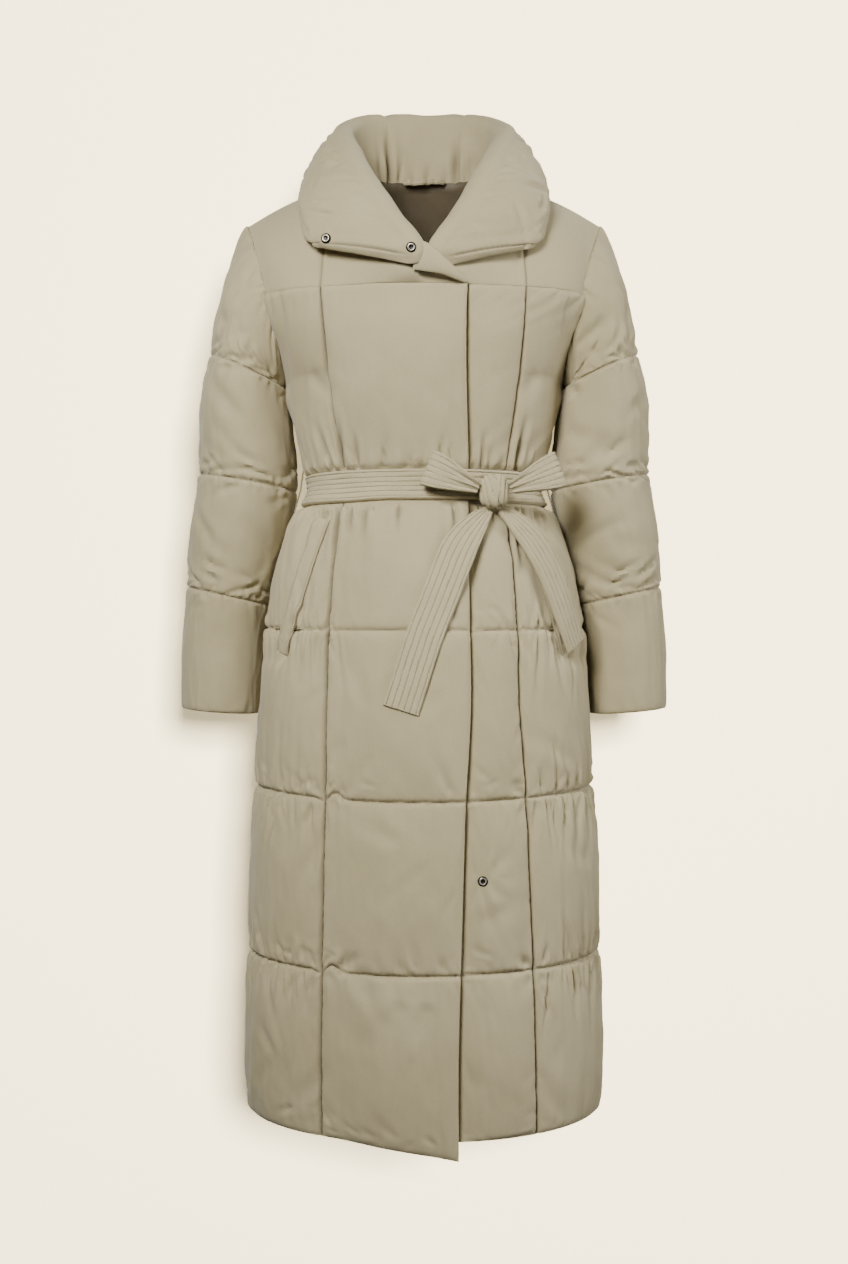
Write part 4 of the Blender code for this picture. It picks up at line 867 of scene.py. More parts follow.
def collar_lines(steps):
    """Neck seam, roll, free edge, fullness and crown, from the right end round to the left one."""
    half = curve(np.arange(9), collar_stations, np.linspace(0, 8, steps))
    right = half.copy()
    right[:, (0, 3, 6)] *= -1
    left = half[::-1].copy()
    tuck = 0.013 * ease(0.55, 1.0, np.linspace(0, 1, steps))
    left[:, (1, 4)] += tuck[:, None]
    left[:, 7] += 0.3 * tuck
    left[:, (0, 3)] += 0.6 * tuck[:, None]
    lines = np.concatenate([right, left[1:]])
    return lines[:, 0:3], lines[:, 3:6], lines[:, 6:9], lines[:, 9], lines[:, 10]


def neckline(side):
    """Half of the neckline, a little under the collar's seam."""
    seam = collar_lines(60)[0]
    half = seam[:60] if side < 0 else seam[59:][::-1]
    low = half.copy()
    drop = 0.0045 + 0.0035 * ease(-0.06, 0.03, half[:, 2])
    low[:, 2] -= drop + (0.0022 - drop) * ease(0.04, 0.07, half[:, 1])
    return low


def yoke(low, low_stand, share, side, front, steps=26):
    """Inside and stand of half a yoke over its seam, by shares of its width to the armhole."""
    line = neckline(side)
    neck = int(np.argmax(np.abs(line[:, 0])))
    part = line[: neck + 1] if front else line[: neck - 1 : -1]
    within = share <= 0.45
    top = np.empty((len(share), 3))
    top[within] = curve(np.linspace(0, 1, len(part)), part, np.clip(share[within], 0, 1) / 0.45)
    out = ((share - 0.45) / 0.55)[~within][:, None]
    run = part[-1] + (armhole(1.0, side, 0.0) - part[-1]) * out
    run[:, 2] += 0.010 * np.sin(math.pi * out[:, 0])
    top[~within] = run
    corner = share < 0
    if corner.any():
        top[corner, 0] = low[corner, 0] - 0.012 * ease(0.055, 0.0, low[corner, 0])
        top[corner, 1] = low[corner, 1] - 0.001
        top[corner, 2] = np.interp(low[corner, 0], [0.0, 0.05], [-0.1110, -0.1232])
    sign = -1.0 if front else 1.0
    sweep = np.clip(share / 0.45, 0, 1)
    forward = (0.8 - 0.55 * sweep) * (1 - np.clip(share, 0, 1)) if front else 1 - 0.9 * sweep**1.5
    upward = np.ones(len(share)) if front else 0.3 + 0.7 * sweep**1.5
    top_stand = unit(np.stack([side * (0.1 + 0.3 * share), sign * forward, upward], -1))
    rise_1d = spread(steps)
    rise = rise_1d[:, None, None]
    inside = low[None] * (1 - rise) + top[None] * rise
    start = float(arm_share(np.array(YOKE)))
    shares = start + (1 - start) * rise_1d
    rim = armhole(shares, side, -ARM_FRONT if front else ARM_BACK)
    inside += (np.clip(share, 0, 1) ** 2)[None, :, None] * (rim - inside[:, -1])[:, None]
    ways = unit(low_stand[None] * (1 - rise) + top_stand[None] * rise)
    ways[:, -1] = armhole_stand(shares, side, front)
    crown = np.sin(math.pi * np.clip(share * 0.9 + 0.1, 0, 1)) * (share >= 0)
    inside += 0.016 * np.sin(math.pi * rise) * crown[None, :, None] * ways
    return inside, ways, rise_1d


side_steps = [0, 0.08, 0.25, 0.5, 0.75, 0.92, 1.0]


def yoke_share(turns, seam, inner, outer):
    """The share of the width for each turn: even up to the long seam, then as the panel's."""
    past = np.interp((np.abs(turns) - seam) / (math.pi / 2 - seam), side_steps, outer)
    return np.where(np.abs(turns) <= seam, inner * turns / seam * np.sign(seam), past)


def up_column(p):
    """How far up its column each point of a grid is."""
    return np.concatenate([np.zeros((1, p.shape[1])), np.cumsum(lengths_v(p), axis=0)])


def yoke_piece(name, inside, ways, rise, seed, both_sleeves=False, long_seam=None):
    """A yoke's padded wall, with its creases and its seams' marks."""
    run = along_row(inside)
    up = up_column(inside)
    first_side = (
        0.25 + 0.75 * ease(0, 0.028, run) if both_sleeves else 0.85 + 0.15 * ease(0, 0.02, run)
    )
    last_side = 0.25 + 0.75 * ease(0, 0.028, run[:, -1:] - run)
    settled = 1 - ease(0.72, 1.0, rise)[:, None]
    tall = SEAM + (YOKE_HEIGHT - SEAM) * settled * first_side * last_side
    mask = ease(0, 0.25, rise)[:, None] * np.clip((tall - SEAM) / 0.003, 0, 1)
    lines = puckers(
        seed, [(0.0, 0.0, float(run[0, -1]))], lambda at, fixed: 0.5, 1, 0.021, 0.030, 0.004, 0.0012
    )
    tall = tall + (0.0008 * waves(seed, run, up, 0.09, 0.07) - troughs(run, up, lines)) * mask
    to_row = np.minimum(up, up[-1] - up)
    to_edge = np.minimum(run, run[:, -1:] - run)
    tall = tall - 0.0005 * (to_row < 0.0002) * (to_edge > 0.002)
    # The dark line along the yoke's seams is partly the thread and partly painted shade in their
    # creases.
    marks = {
        "by_row": 0.15 * mound(to_row, 0.006), "by_column": 0.3 * mound(to_edge, 0.005),
        "thread_and_shade": 0.12 * (to_row < 0.0002) * (to_edge > 0.001)
    }
    if long_seam is not None:
        to_seam = np.abs(run - run[:, long_seam : long_seam + 1])
        tall = tall - 0.0020 * mound(to_seam, 0.0024) * (1 - ease(0.6, 0.9, rise))[:, None]
        marks["thread_and_shade"] = np.maximum(marks["thread_and_shade"], 0.65 * mound(to_seam, 0.0011))
    outside = inside + ways * tall[..., None]
    piece = wall(
        name + "_cloth", draw_in(inside, SEAM_GAP), draw_in(outside, SEAM_GAP), shell_cloth,
        marks=marks
    )
    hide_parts(name)


front_shares = [0.5, 7 / 12, 8 / 12, 9 / 12, 10 / 12, 11 / 12, 1.0]
back_shares = [0.4, 0.5, 0.6, 0.7, 0.8, 0.9, 1.0]
top = rows - 1
pick = np.r_[0 : last[0], first[1] : last[1] + 1]
turns = phi[top, pick]
seam = abs(seams[1][top])
share = np.where(turns <= 0, yoke_share(-turns, seam, 0.5, front_shares), -0.001)
yoke_in, yoke_ways, rise = yoke(body_in[top, pick], stand[top, pick], share, -1, True)
yoke_piece(
    "front_yoke_right", yoke_in, yoke_ways, rise, 31, long_seam=int(np.argmax(pick == first[1]))
)

hidden = np.array([c for c in range(first[7], cols) if body_in[top, c, 0] >= -1e-4])
pick = np.r_[first[5] : last[5], first[6] : last[6], hidden][::-1]
turns = phi[top, pick] + 2 * math.pi
seam = seams[6][top] + 2 * math.pi
yoke_in, yoke_ways, rise = yoke(
    body_in[top, pick], stand[top, pick], yoke_share(turns, seam, 0.5, front_shares), 1, True
)
yoke_piece(
    "front_yoke_left", yoke_in, yoke_ways, rise, 32, long_seam=int(np.argmax(pick == first[6]))
)

centre = first[3] + counts[3] // 2
halves = []
for side, pick in (
    (-1, np.r_[first[2] : last[2], first[3] : centre + 1][::-1]),
    (1, np.r_[centre : last[3], first[4] : last[4] + 1])
):
    away = np.abs(phi[top, pick] + math.pi)
    seam = float(abs(seams[3 if side < 0 else 4][top] + math.pi))
    share = np.where(
        away <= seam, 0.4 * away / seam,
        np.interp((away - seam) / (math.pi / 2 - seam), side_steps, back_shares)
    )
    halves.append(yoke(body_in[top, pick], stand[top, pick], share, side, False))
back_in, back_ways = (
    np.concatenate([a[:, ::-1], b[:, 1:]], axis=1) for a, b in zip(halves[0][:2], halves[1][:2])
)
yoke_piece("back_yoke", back_in, back_ways, rise, 33, True)


# ---- Sleeves: one tube round the arm, quilted across three times, set in at the armhole
# Each is two cloths with down between, closed into a tube and open at the wrist. The puckers
# beside the quilt lines are deepest in front and behind.

# Each ring gives its place, counted in courses, the outer edge and the inner one as x and z, half
# the depth, and the middle from front to back.
sleeve_rings = np.array([
    (0.35, 0.2420, -0.078, 0.1760, -0.234, 0.078, 0.004),
    (1.0, 0.2710, -0.186, 0.1735, -0.240, 0.081, 0.008),
    (1.5, 0.2835, -0.250, 0.1680, -0.296, 0.081, 0.012),
    (2.0, 0.2875, -0.338, 0.1630, -0.362, 0.077, 0.016),
    (2.5, 0.2980, -0.410, 0.1785, -0.432, 0.073, 0.024),
    (3.0, 0.3040, -0.480, 0.1970, -0.506, 0.067, 0.028),
    (3.5, 0.3090, -0.560, 0.2075, -0.576, 0.063, 0.028),
    (4.0, 0.3110, -0.637, 0.2120, -0.645, 0.059, 0.026),
])
AROUND = 160  # points round a sleeve
SLEEVE_FULL, SLEEVE_GIRTH = 0.0115, 0.47  # how thick it is when full, and how far round
theta = 2 * math.pi * np.arange(AROUND) / AROUND
at_yoke = float(arm_share(np.array(YOKE)))
up_armhole = [0.0, 0.196, 0.353, 0.454, at_yoke]
up_armhole += [at_yoke + s * (1 - at_yoke) for s in (0.12, 0.4, 0.75)] + [1.0]
turned = 1 - np.abs(theta / math.pi - 1)
shares = np.interp(turned * 8, np.arange(9), up_armhole)
spots = np.concatenate([k + spread(n, 0.7)[:-1] for k, n in enumerate((40, 38, 38, 34))] + [[4.0]])
at_seam = np.array([abs(s - round(s)) < 1e-9 for s in spots])
for side, hand in ((-1, "right"), (1, "left")):
    facing = theta <= math.pi
    rim = np.where(
        facing[:, None], armhole(shares, side, -ARM_FRONT), armhole(shares, side, ARM_BACK)
    )
    rim_stand = np.where(
        facing[:, None], armhole_stand(shares, side, True), armhole_stand(shares, side, False)
    )
    stack = [rim]
    for at, outer_x, outer_z, inner_x, inner_z, half_depth, centre_y in sleeve_rings:
        outer = np.array([side * outer_x, centre_y, outer_z])
        inner = np.array([side * inner_x, centre_y, inner_z])
        reach = 0.5 * (outer - inner)
        reach *= 1 - SLEEVE_FULL / np.linalg.norm(reach)
        deep = np.array([0, half_depth - SLEEVE_FULL, 0])
        stack.append(
            0.5 * (outer + inner) - np.cos(theta)[:, None] * reach - np.sin(theta)[:, None] * deep
        )
    keys = np.concatenate([[0.0], sleeve_rings[:, 0]])
    inside = curve(
        keys, np.array(stack).reshape(len(stack), -1), spots
    ).reshape(len(spots), AROUND, 3)
    out = normals(inside, True)
    if np.mean(np.sum(out * (inside - inside.mean(axis=1, keepdims=True)), -1)) < 0:
        out = -out
    hold = np.interp(spots, [0, 0.08, 0.25, 0.5], [1.0, 0.7, 0.35, 0.0])[:, None, None]
    out = unit(out * (1 - hold) + rim_stand[None] * hold)
    pad = (4 * (spots % 1.0) * (1 - spots % 1.0)) ** 0.6
    squeeze = np.ones((len(spots), AROUND))
    squeeze[spots < 1] = 0.3 + 0.7 * ease(0.1, 1.0, 0.5 * (1 - np.cos(theta)))
    held = 0.0058 * ease(0.02, 0.3, spots)[:, None]
    held = held * (1 + 0.25 * (np.cos(theta) > 0) * np.cos(theta))[None, :]
    tall = SEAM + held * squeeze + (0.008 - held) * pad[:, None] * squeeze
    run = along_row(inside)
    down = np.repeat(
        np.concatenate([[0.0], np.cumsum(lengths_v(inside).mean(axis=1))])[:, None], AROUND, axis=1
    )
    fill = np.clip(pad[:, None] * squeeze, 0, 1)
    around_wave = waves(40 + side, np.sin(theta)[None, :] * 0.09, down, 0.12, 0.10)
    base = inside + out * (tall + 0.0011 * around_wave * fill)[..., None]
    loose = np.ones((len(spots), AROUND))
    loose[at_seam] = 0
    loose[-1] = 0
    bare_u = lengths_u(base, True)
    cut = np.clip(lengths_u(inside + out * SLEEVE_FULL, True) * 1.02, bare_u, bare_u * 1.15)
    seeded = waves(
        43 + side, np.sin(theta)[None, :] * 0.08 + np.cos(theta)[None, :] * 0.03, down, 0.025, 0.12,
        2
    )
    face = settle(
        base + out * (0.0007 * seeded * loose)[..., None], loose, cut, lengths_v(base), 0.000003,
        out, 300, ring=True
    )
    face = base + np.clip(face - base, -0.0018, 0.0018)
    seam_at = down[at_seam, 0]
    lines = []
    for d in seam_at[1:4]:
        seed = 150 + side + int(1000 * d)
        lines += puckers(
            seed, [(float(d), 0.0, SLEEVE_GIRTH)], lambda at, fixed: 0.9, -1, 0.0075, 0.018, 0.0024,
            0.0018, 0.6
        )
        lines += puckers(
            seed + 1, [(float(d), 0.0, SLEEVE_GIRTH)], lambda at, fixed: 0.8, 1, 0.0080, 0.024,
            0.0026, 0.0018, 0.4
        )
        lines += crumples(
            seed + 2, (0.0, SLEEVE_GIRTH), (d - 0.034, d - 0.004), 46, 0.036, 0.0036, 0.0046,
            (0.10, 0.7)
        )
        lines += crumples(
            seed + 3, (0.0, SLEEVE_GIRTH), (d + 0.004, d + 0.024), 16, 0.034, 0.0040, 0.0026,
            (0.3, 1.0)
        )
        lines += crumples(
            seed + 4, (0.0, SLEEVE_GIRTH), (d - 0.085, d - 0.020), 16, 0.085, 0.0075, 0.0028,
            (0.3, 0.9)
        )
    lines += puckers(
        64 + side, [(float(down[-1, 0]), 0.0, 0.42)], lambda at, fixed: 0.5, -1, 0.024, 0.030,
        0.0045, 0.0018
    )
    lines += puckers(
        66 + side, [(0.0, 0.0, 0.52)], lambda at, fixed: 0.5, 1, 0.022, 0.035, 0.0045, 0.0018
    )
    shallow = troughs(run, down, lines) * loose * np.clip(fill * 3.5, 0, 1)
    shallow *= (0.35 + 0.65 * np.abs(np.sin(theta)))[None, :]
    face = face - out * shallow[..., None]
    to_row = np.min(np.abs(down[:, :1] - seam_at[None, :-1]), axis=1)
    is_line = at_seam.copy()
    is_line[-1] = False
    notch = 0.0019 * mound(to_row, 0.0024)
    notch = (
        notch[:, None] * ease(0.3, 0.8, spots)[:, None]
        * (0.4 + 0.6 * np.abs(np.sin(theta)))[None, :]
    )
    face = face - out * notch[..., None]
    face[-1] = inside[-1] + out[-1] * 0.0045
    # The dark line at the armhole and along the quilt lines is partly the thread and partly painted
    # shade in their creases.
    marks = {
        "by_row": (0.8 * mound(to_row, 0.0055))[:, None] * np.ones((1, AROUND)),
        "thread_and_shade": (
            np.where(spots < 0.01, 0.8, 0.45) * (is_line | (spots < 0.006))
        )[:, None] * np.ones((1, AROUND))
    }
    none = (False, False)
    inside = draw_in(inside, SEAM_GAP, (True, False), none)
    face = draw_in(face, SEAM_GAP, (True, False), none)
    piece = wall("sleeve_" + hand + "_cloth", inside, face, shell_cloth, ring=True, marks=marks)
    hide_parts("sleeve_" + hand)


# ---- Collar: one wide padded funnel, rolled open and turned down, gathered a little at the neck
# Its wall goes up from the neck seam, over the roll and down to the free edge. A row of stitches
# runs down beside each end and along the free edge, and the cloth is pressed in under the studs.
STEPS = 150  # columns from an end to the middle of the back
ROLL = 0.010  # radius of the roll inside the padding
STITCH_IN = 0.0105  # how far the line of stitches is from the collar's ends
seam_line, roll, edge, full, crown = collar_lines(STEPS)
for line in (seam_line, roll, edge):
    for _ in range(60):
        line[130:169] = 0.25 * line[129:168] + 0.5 * line[130:169] + 0.25 * line[131:170]
along = unit(np.gradient(roll, axis=0))
fall = unit(edge - roll)
drop = unit(seam_line - roll)
over = -(fall + drop)
over -= along * np.sum(over * along, -1, keepdims=True)
over = unit(over)
forth = np.cross(along, over)
forth *= np.sign(np.sum(forth * (edge - seam_line), -1, keepdims=True))
crest = roll - over * ROLL
near, far = crest - forth * ROLL, crest + forth * ROLL
away = np.cross(along, fall)
away *= np.sign(np.sum(away * forth, -1, keepdims=True))
lines, halves = [], []
seam_half, edge_half = 0.0040 + 0 * full, 0.0060 + 0 * full
key_rows = [seam_line, 0.5 * (seam_line + near) - 0.002 * forth, near]
key_half = [seam_half, 0.4 * seam_half + 0.4 * full, 0.6 * full]
for angle, part in ((135, 0.62), (90, 0.64), (45, 0.68)):
    t = math.radians(angle)
    key_rows.append(crest + ROLL * (math.cos(t) * forth + math.sin(t) * over))
    key_half.append(part * full)
key_rows.append(far)
key_half.append(0.74 * full)
for s, wide in (
    (0.2, 0.9 * full), (0.45, full), (0.7, 0.98 * full), (0.9, 0.7 * full + 0.3 * edge_half),
    (1.0, edge_half)
):
    key_rows.append(far + s * (edge - far) + crown[:, None] * math.sin(math.pi * s) ** 0.8 * away)
    key_half.append(wide)
keys = np.array([0, 1.6, 3, 3.6, 4.2, 4.8, 5.4, 6.4, 8, 9.8, 11.2, 12])
spots = np.concatenate([
    np.linspace(0, 3, 19)[:-1], np.linspace(3, 5.4, 15)[:-1],
    5.4 + 6.6 * (1 - (1 - np.linspace(0, 1, 42)) ** 1.35)
])
cols_c = 2 * STEPS - 1
centre_line = curve(
    keys, np.array(key_rows).reshape(len(keys), -1), spots
).reshape(len(spots), cols_c, 3)
half_wall = 0.5 * curve(keys, np.array(key_half), spots)
along_end = along_row(centre_line)
along_end = np.minimum(along_end, along_end[:, -1:] - along_end)
lobe = mound(along_end - 0.0115, 0.0035) * ease(10.2, 12.0, spots)[:, None]
centre_line = centre_line - fall[None] * (0.0045 * lobe)[..., None]
to_end = np.linspace(0, 16, cols_c)
to_end = np.minimum(to_end, to_end[::-1])
round_end = np.sqrt(np.clip(1 - (1 - np.clip(to_end / 0.42, 0, 1)) ** 2, 0.04, 1))
half_wall *= np.minimum(1, to_end * 0.3 + 0.55)[None, :] * round_end[None, :]
way = normals(centre_line)
if np.sum(way[25] * (centre_line[25] - 0.5 * (near + far))) < 0:
    way = -way
run = along_row(centre_line)
from_end = np.minimum(run, run[:, -1:] - run)
mid = run[:, (cols_c - 1) // 2][:, None]
run = run - mid
rise_c = up_column(centre_line)
whole = rise_c[-1:]
hem_round = np.sqrt(np.clip(1 - (1 - np.clip((whole - rise_c) / 0.006, 0, 1)) ** 2, 0.05, 1))
half_wall *= hem_round
mask = np.clip(np.minimum((whole - rise_c) / 0.02, rise_c / 0.02), 0, 1)
roundness = 0.0016 * waves(71, run, rise_c, 0.15, 0.10)
gathered = puckers(
    72, [(0.0, -0.16, 0.16)], lambda at, fixed: 0.9, 1, 0.010, 0.030, 0.0028, 0.0022, 0.2
)
gathered += [
    (-0.047, 0.0, -0.051, 0.084, 0.0050, 0.0064),
    (-0.040, 0.0, -0.052, 0.062, 0.0045, 0.0042),
    (-0.056, 0.0, -0.068, 0.052, 0.0045, 0.0040),
    (-0.030, 0.0, -0.035, 0.038, 0.0040, 0.0030),
    (0.045, 0.0, 0.043, 0.080, 0.0050, 0.0060),
    (0.036, 0.0, 0.047, 0.056, 0.0045, 0.0042),
    (0.055, 0.0, 0.066, 0.048, 0.0045, 0.0040),
    (0.028, 0.0, 0.034, 0.040, 0.0040, 0.0032),
    (-0.062, 0.100, -0.034, 0.088, 0.0050, 0.0030),
    (0.060, 0.098, 0.030, 0.090, 0.0050, 0.0026),
    (0.004, 0.0, 0.008, 0.040, 0.0042, 0.0024),
    (-0.014, 0.0, -0.016, 0.034, 0.0040, 0.0022),
]
edge_lines = puckers(
    73, [(0.0, -0.45, 0.45)], lambda at, fixed: 0.8, 1, 0.014, 0.034, 0.0032, 0.0032, 0.4
)
at_roll = 32  # the row where the collar turns down
turned_down = rise_c - rise_c[at_roll : at_roll + 1]
fold_lines = puckers(
    74, [(0.0, -0.40, 0.40)], lambda at, fixed: 0.8, 1, 0.017, 0.044, 0.0042, 0.0040, 0.5
)
slants = crumples(75, (-0.36, 0.36), (0.01, 0.11), 60, 0.050, 0.0052, 0.0034, (0.2, 1.2))
dips = -troughs(run, rise_c, gathered) * np.clip(rise_c / 0.004, 0, 1)
dips -= troughs(run, turned_down, fold_lines + slants) * ease(0.0, 0.01, turned_down) * mask
dips -= troughs(run, whole - rise_c, edge_lines) * mask
shown = centre_line + way * (half_wall + roundness * mask + dips * round_end)[..., None]
pushed_back = np.minimum(0, dips * round_end + 1.3 * half_wall)
hidden_face = centre_line + way * (pushed_back - half_wall)[..., None]
to_edge = whole - rise_c
past_roll = ease(0.0, 0.02, turned_down) * (1 - ease(0.100, 0.118, turned_down))
stitch = mound(from_end - STITCH_IN, 0.0014) * past_roll
far_edge = mound(to_edge - 0.011, 0.0016) * ease(0.01, 0.03, from_end)
shown = shown - way * ((0.0020 * stitch + 0.0008 * far_edge) * round_end)[..., None]
# Painted shade in the gathered creases at the neck, laid into the dark mark with the stitches'
# lines.
painted_crease_shade = 0.5 * np.clip(troughs(run, rise_c, gathered) / 0.007 - 0.10, 0, 1)
marks = {
    "by_row": 0.8 * mound(rise_c, 0.008),
    "by_column": 0.5 * mound(from_end - STITCH_IN, 0.005) * past_roll,
    "thread_and_shade": np.maximum(np.maximum(0.65 * stitch**2, 0.2 * far_edge**2), painted_crease_shade)
}


def stud_seat(name):
    """The foot and the way out of a press stud, from its solid."""
    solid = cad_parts[name]
    points = np.array([solid.matrix_world @ v.co for v in solid.data.vertices])
    centre = points.mean(axis=0)
    axis = np.linalg.svd(points - centre)[2][2]
    axis = axis * (-1 if axis[1] > 0 else 1)
    foot = centre + axis * np.min((points - centre) @ axis)
    if name == "collar_snap_outer":
        axis = unit(axis + np.array([0.0, -1.3, 0.0]))
        foot = foot + np.array([0.0, -0.0018, 0.0])
    return foot, axis


for name in ("collar_snap_outer", "collar_snap_inner"):
    foot, axis = stud_seat(name)
    above = (shown - foot) @ axis
    beside = np.linalg.norm(shown - foot - above[..., None] * axis, axis=-1)
    pressed = np.exp(-((beside / 0.0105) ** 4)) * (np.abs(above) < 0.014)
    shown = shown - axis * (np.clip(above - 0.0003, -0.005, 0.014) * pressed)[..., None]
collar = wall("collar_cloth", hidden_face, shown, shell_cloth, sharp=80, marks=marks)
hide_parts("collar")


# ---- Belt: a soft flat band, sewn through along its length, tied in a bow over the left front
# Six rows of stitches leave seven low ribs. The two ends of the bow hang from the knot, and the
# loops stand out beside it.

# The same fine weave as the shell, painted a shade lighter for the light that its flat band
# catches, with a dark line beside each rib, partly the thread and partly painted shade in the
# groove.
belt_cloth = cloth("belt_cloth", "#B2A889", "#A89E7E")
KNOT, KNOT_HALF = np.array((0.084, -0.1227, -0.371)), np.array((0.0175, 0.0135, 0.0205))


def channels(count=7, fine=6):
    """Places across the band, from one edge to the other, and how high its sewn ribs stand."""
    edges = np.linspace(-0.5, 0.5, count + 1)
    edges[1], edges[-2] = -0.5 + 0.085, 0.5 - 0.085
    edges[1:-1] = np.linspace(edges[1], edges[-2], count - 1)
    places, ribs = [], []
    for low, high in zip(edges[:-1], edges[1:]):
        for s in spread(fine, 0.3)[:-1]:
            places.append(low + s * (high - low))
            ribs.append((4 * s * (1 - s)) ** 0.5)
    return np.array(places + [0.5]), np.array(ribs + [0.0])


rib_at, rib = channels()
lines_at = (rib < 1e-6) & (np.abs(rib_at) < 0.49)


def band(name, inside, ways, thickness, relief, along, seed, ring=False):
    """A sewn band over a grid whose rows run across it. Its ribs rise a little and unevenly."""
    rim = np.minimum(1, (0.5 - np.abs(rib_at)) / 0.03) ** 0.5
    tall = (
        thickness * (0.45 + 0.55 * rim)[:, None]
        - relief * (1 - rib[:, None]) * (
            0.92 + 0.2 * waves(seed, rib_at[:, None] * 0.1, along, 0.03, 0.05)
        )
    )
    tall = tall + 0.0004 * waves(seed + 1, rib_at[:, None] * 0.3, along, 0.05, 0.03)
    outside = inside + ways * np.maximum(tall, 0.0006)[..., None]
    puff = mound(np.min(np.abs(rib_at[:, None] - rib_at[lines_at][None, :]), axis=1), 0.03)
    # The dark line along each row of stitches is partly the thread and partly painted shade in its
    # groove.
    marks = {
        "by_row": 0.8 * puff[:, None] * np.ones((1, inside.shape[1])),
        "thread_and_shade": 0.55 * lines_at[:, None] * np.ones((1, inside.shape[1]))
    }
    piece = wall(name + "_cloth", inside, outside, belt_cloth, ring=ring, marks=marks)
    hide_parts(name)
    return piece


turn = np.linspace(-math.pi, math.pi, 340, endpoint=False)
# Height of its middle, width, thickness, and how far it lies off the coat's bare inside.
BELT_MIDDLE, BELT_WIDTH, BELT_THICK, BELT_OFF = -0.3635, 0.0425, 0.0050, 0.0050
belt_z = BELT_MIDDLE + rib_at[:, None] * BELT_WIDTH + 0 * turn[None, :]
wide_turn = np.broadcast_to(turn, belt_z.shape)
place = bare(wide_turn, belt_z)
lap = size("lap", belt_z)
lift = (
    LAP_LIFT * ease(-0.105, -0.035, place[..., 0])
    * (1 - ease(lap + 0.004, lap + 0.035, place[..., 0])) * (np.cos(wide_turn) > 0)
)
ways = bare_normal(wide_turn, belt_z)
run = np.cumsum(np.linalg.norm(np.roll(place[20], -1, 0) - place[20], axis=-1))
sway = 0.0006 * waves(81, belt_z * 0.5, run[None, :], 0.05, 0.11)
belt_in = place + ways * (BELT_OFF + lift)[..., None]
belt_in = belt_in + ways * np.maximum(sway, -0.0004)[..., None]
belt = band("belt", belt_in, ways, BELT_THICK, 0.0012, run[None, :], 82, ring=True)


def on_front(x, z, lift):
    """A point of the coat's front at a height off its inside."""
    x, z, lift = np.broadcast_arrays(x, z, lift)
    half = size("half", z) - FULL + lift
    deep = size("front", z) - FULL + lift
    across = np.clip(np.abs(x) / half, 0, 1) ** ROUND
    return np.stack([x, -deep * (1 - across) ** (1 / ROUND), z], -1)


def from_start(line):
    """How far each point of a line is from its start."""
    return np.concatenate([[0], np.cumsum(np.linalg.norm(np.diff(line, axis=0), axis=-1))])


def strip(stations, steps, places):
    """A flat strip that follows the front of the coat: its grid, ways out and length along."""
    x, z, width, lift = curve(
        np.arange(len(stations)), np.array(stations), np.linspace(0, len(stations) - 1, steps)
    ).T
    middle = on_front(x, z, lift)
    d = 1e-3
    normal = unit(
        np.cross(
            on_front(x + d, z, lift) - on_front(x - d, z, lift),
            on_front(x, z + d, lift) - on_front(x, z - d, lift)
        )
    )
    side = unit(np.cross(normal, unit(np.gradient(middle, axis=0))))
    flat = middle[None] + side[None] * places[:, None, None] * width[None, :, None]
    inside = on_front(flat[..., 0], flat[..., 2], lift[None, :])
    out = normals(inside)
    if np.mean(np.sum(out * normal[None], -1)) < 0:
        out = -out
    length = from_start(middle)
    return inside, out, length


# Each end's middle line from the knot down: x, z, width and how far it stands off.
ends = {
    "right": [
        (0.0770, -0.3944, 0.012, 0.0170), (0.0610, -0.4120, 0.030, 0.0205),
        (0.0415, -0.4410, 0.043, 0.0220), (0.0184, -0.4990, 0.044, 0.0220),
        (-0.0010, -0.5490, 0.044, 0.0220), (-0.0272, -0.6320, 0.044, 0.0220)
    ],
    "left": [
        (0.0920, -0.3928, 0.012, 0.0175), (0.1110, -0.4080, 0.028, 0.0180),
        (0.1319, -0.4310, 0.040, 0.0180), (0.1500, -0.4610, 0.044, 0.0180),
        (0.1660, -0.5000, 0.044, 0.0180), (0.1850, -0.5560, 0.044, 0.0180)
    ],
}
for hand, stations in ends.items():
    inside, ways, length = strip(stations, 90, rib_at)
    share = (length / length[-1])[None, :]
    fold = (
        0.0035 * mound(rib_at[:, None] + (0.12 if hand == "right" else -0.08), 0.10)
        * (1 - ease(0.1, 0.62, share))
    )
    curl = (
        0.0022
        * waves(84 if hand == "right" else 85, rib_at[:, None] * 0.03, length[None, :], 0.06, 0.12)
        * ease(0.15, 0.6, share)
    )
    inside = inside + ways * (np.maximum(curl, -0.0008) * 0.6 - 0.0010 * fold / 0.0035)[..., None]
    piece = band("belt_end_" + hand, inside, ways, 0.0036, 0.0012, length[None, :], 86)

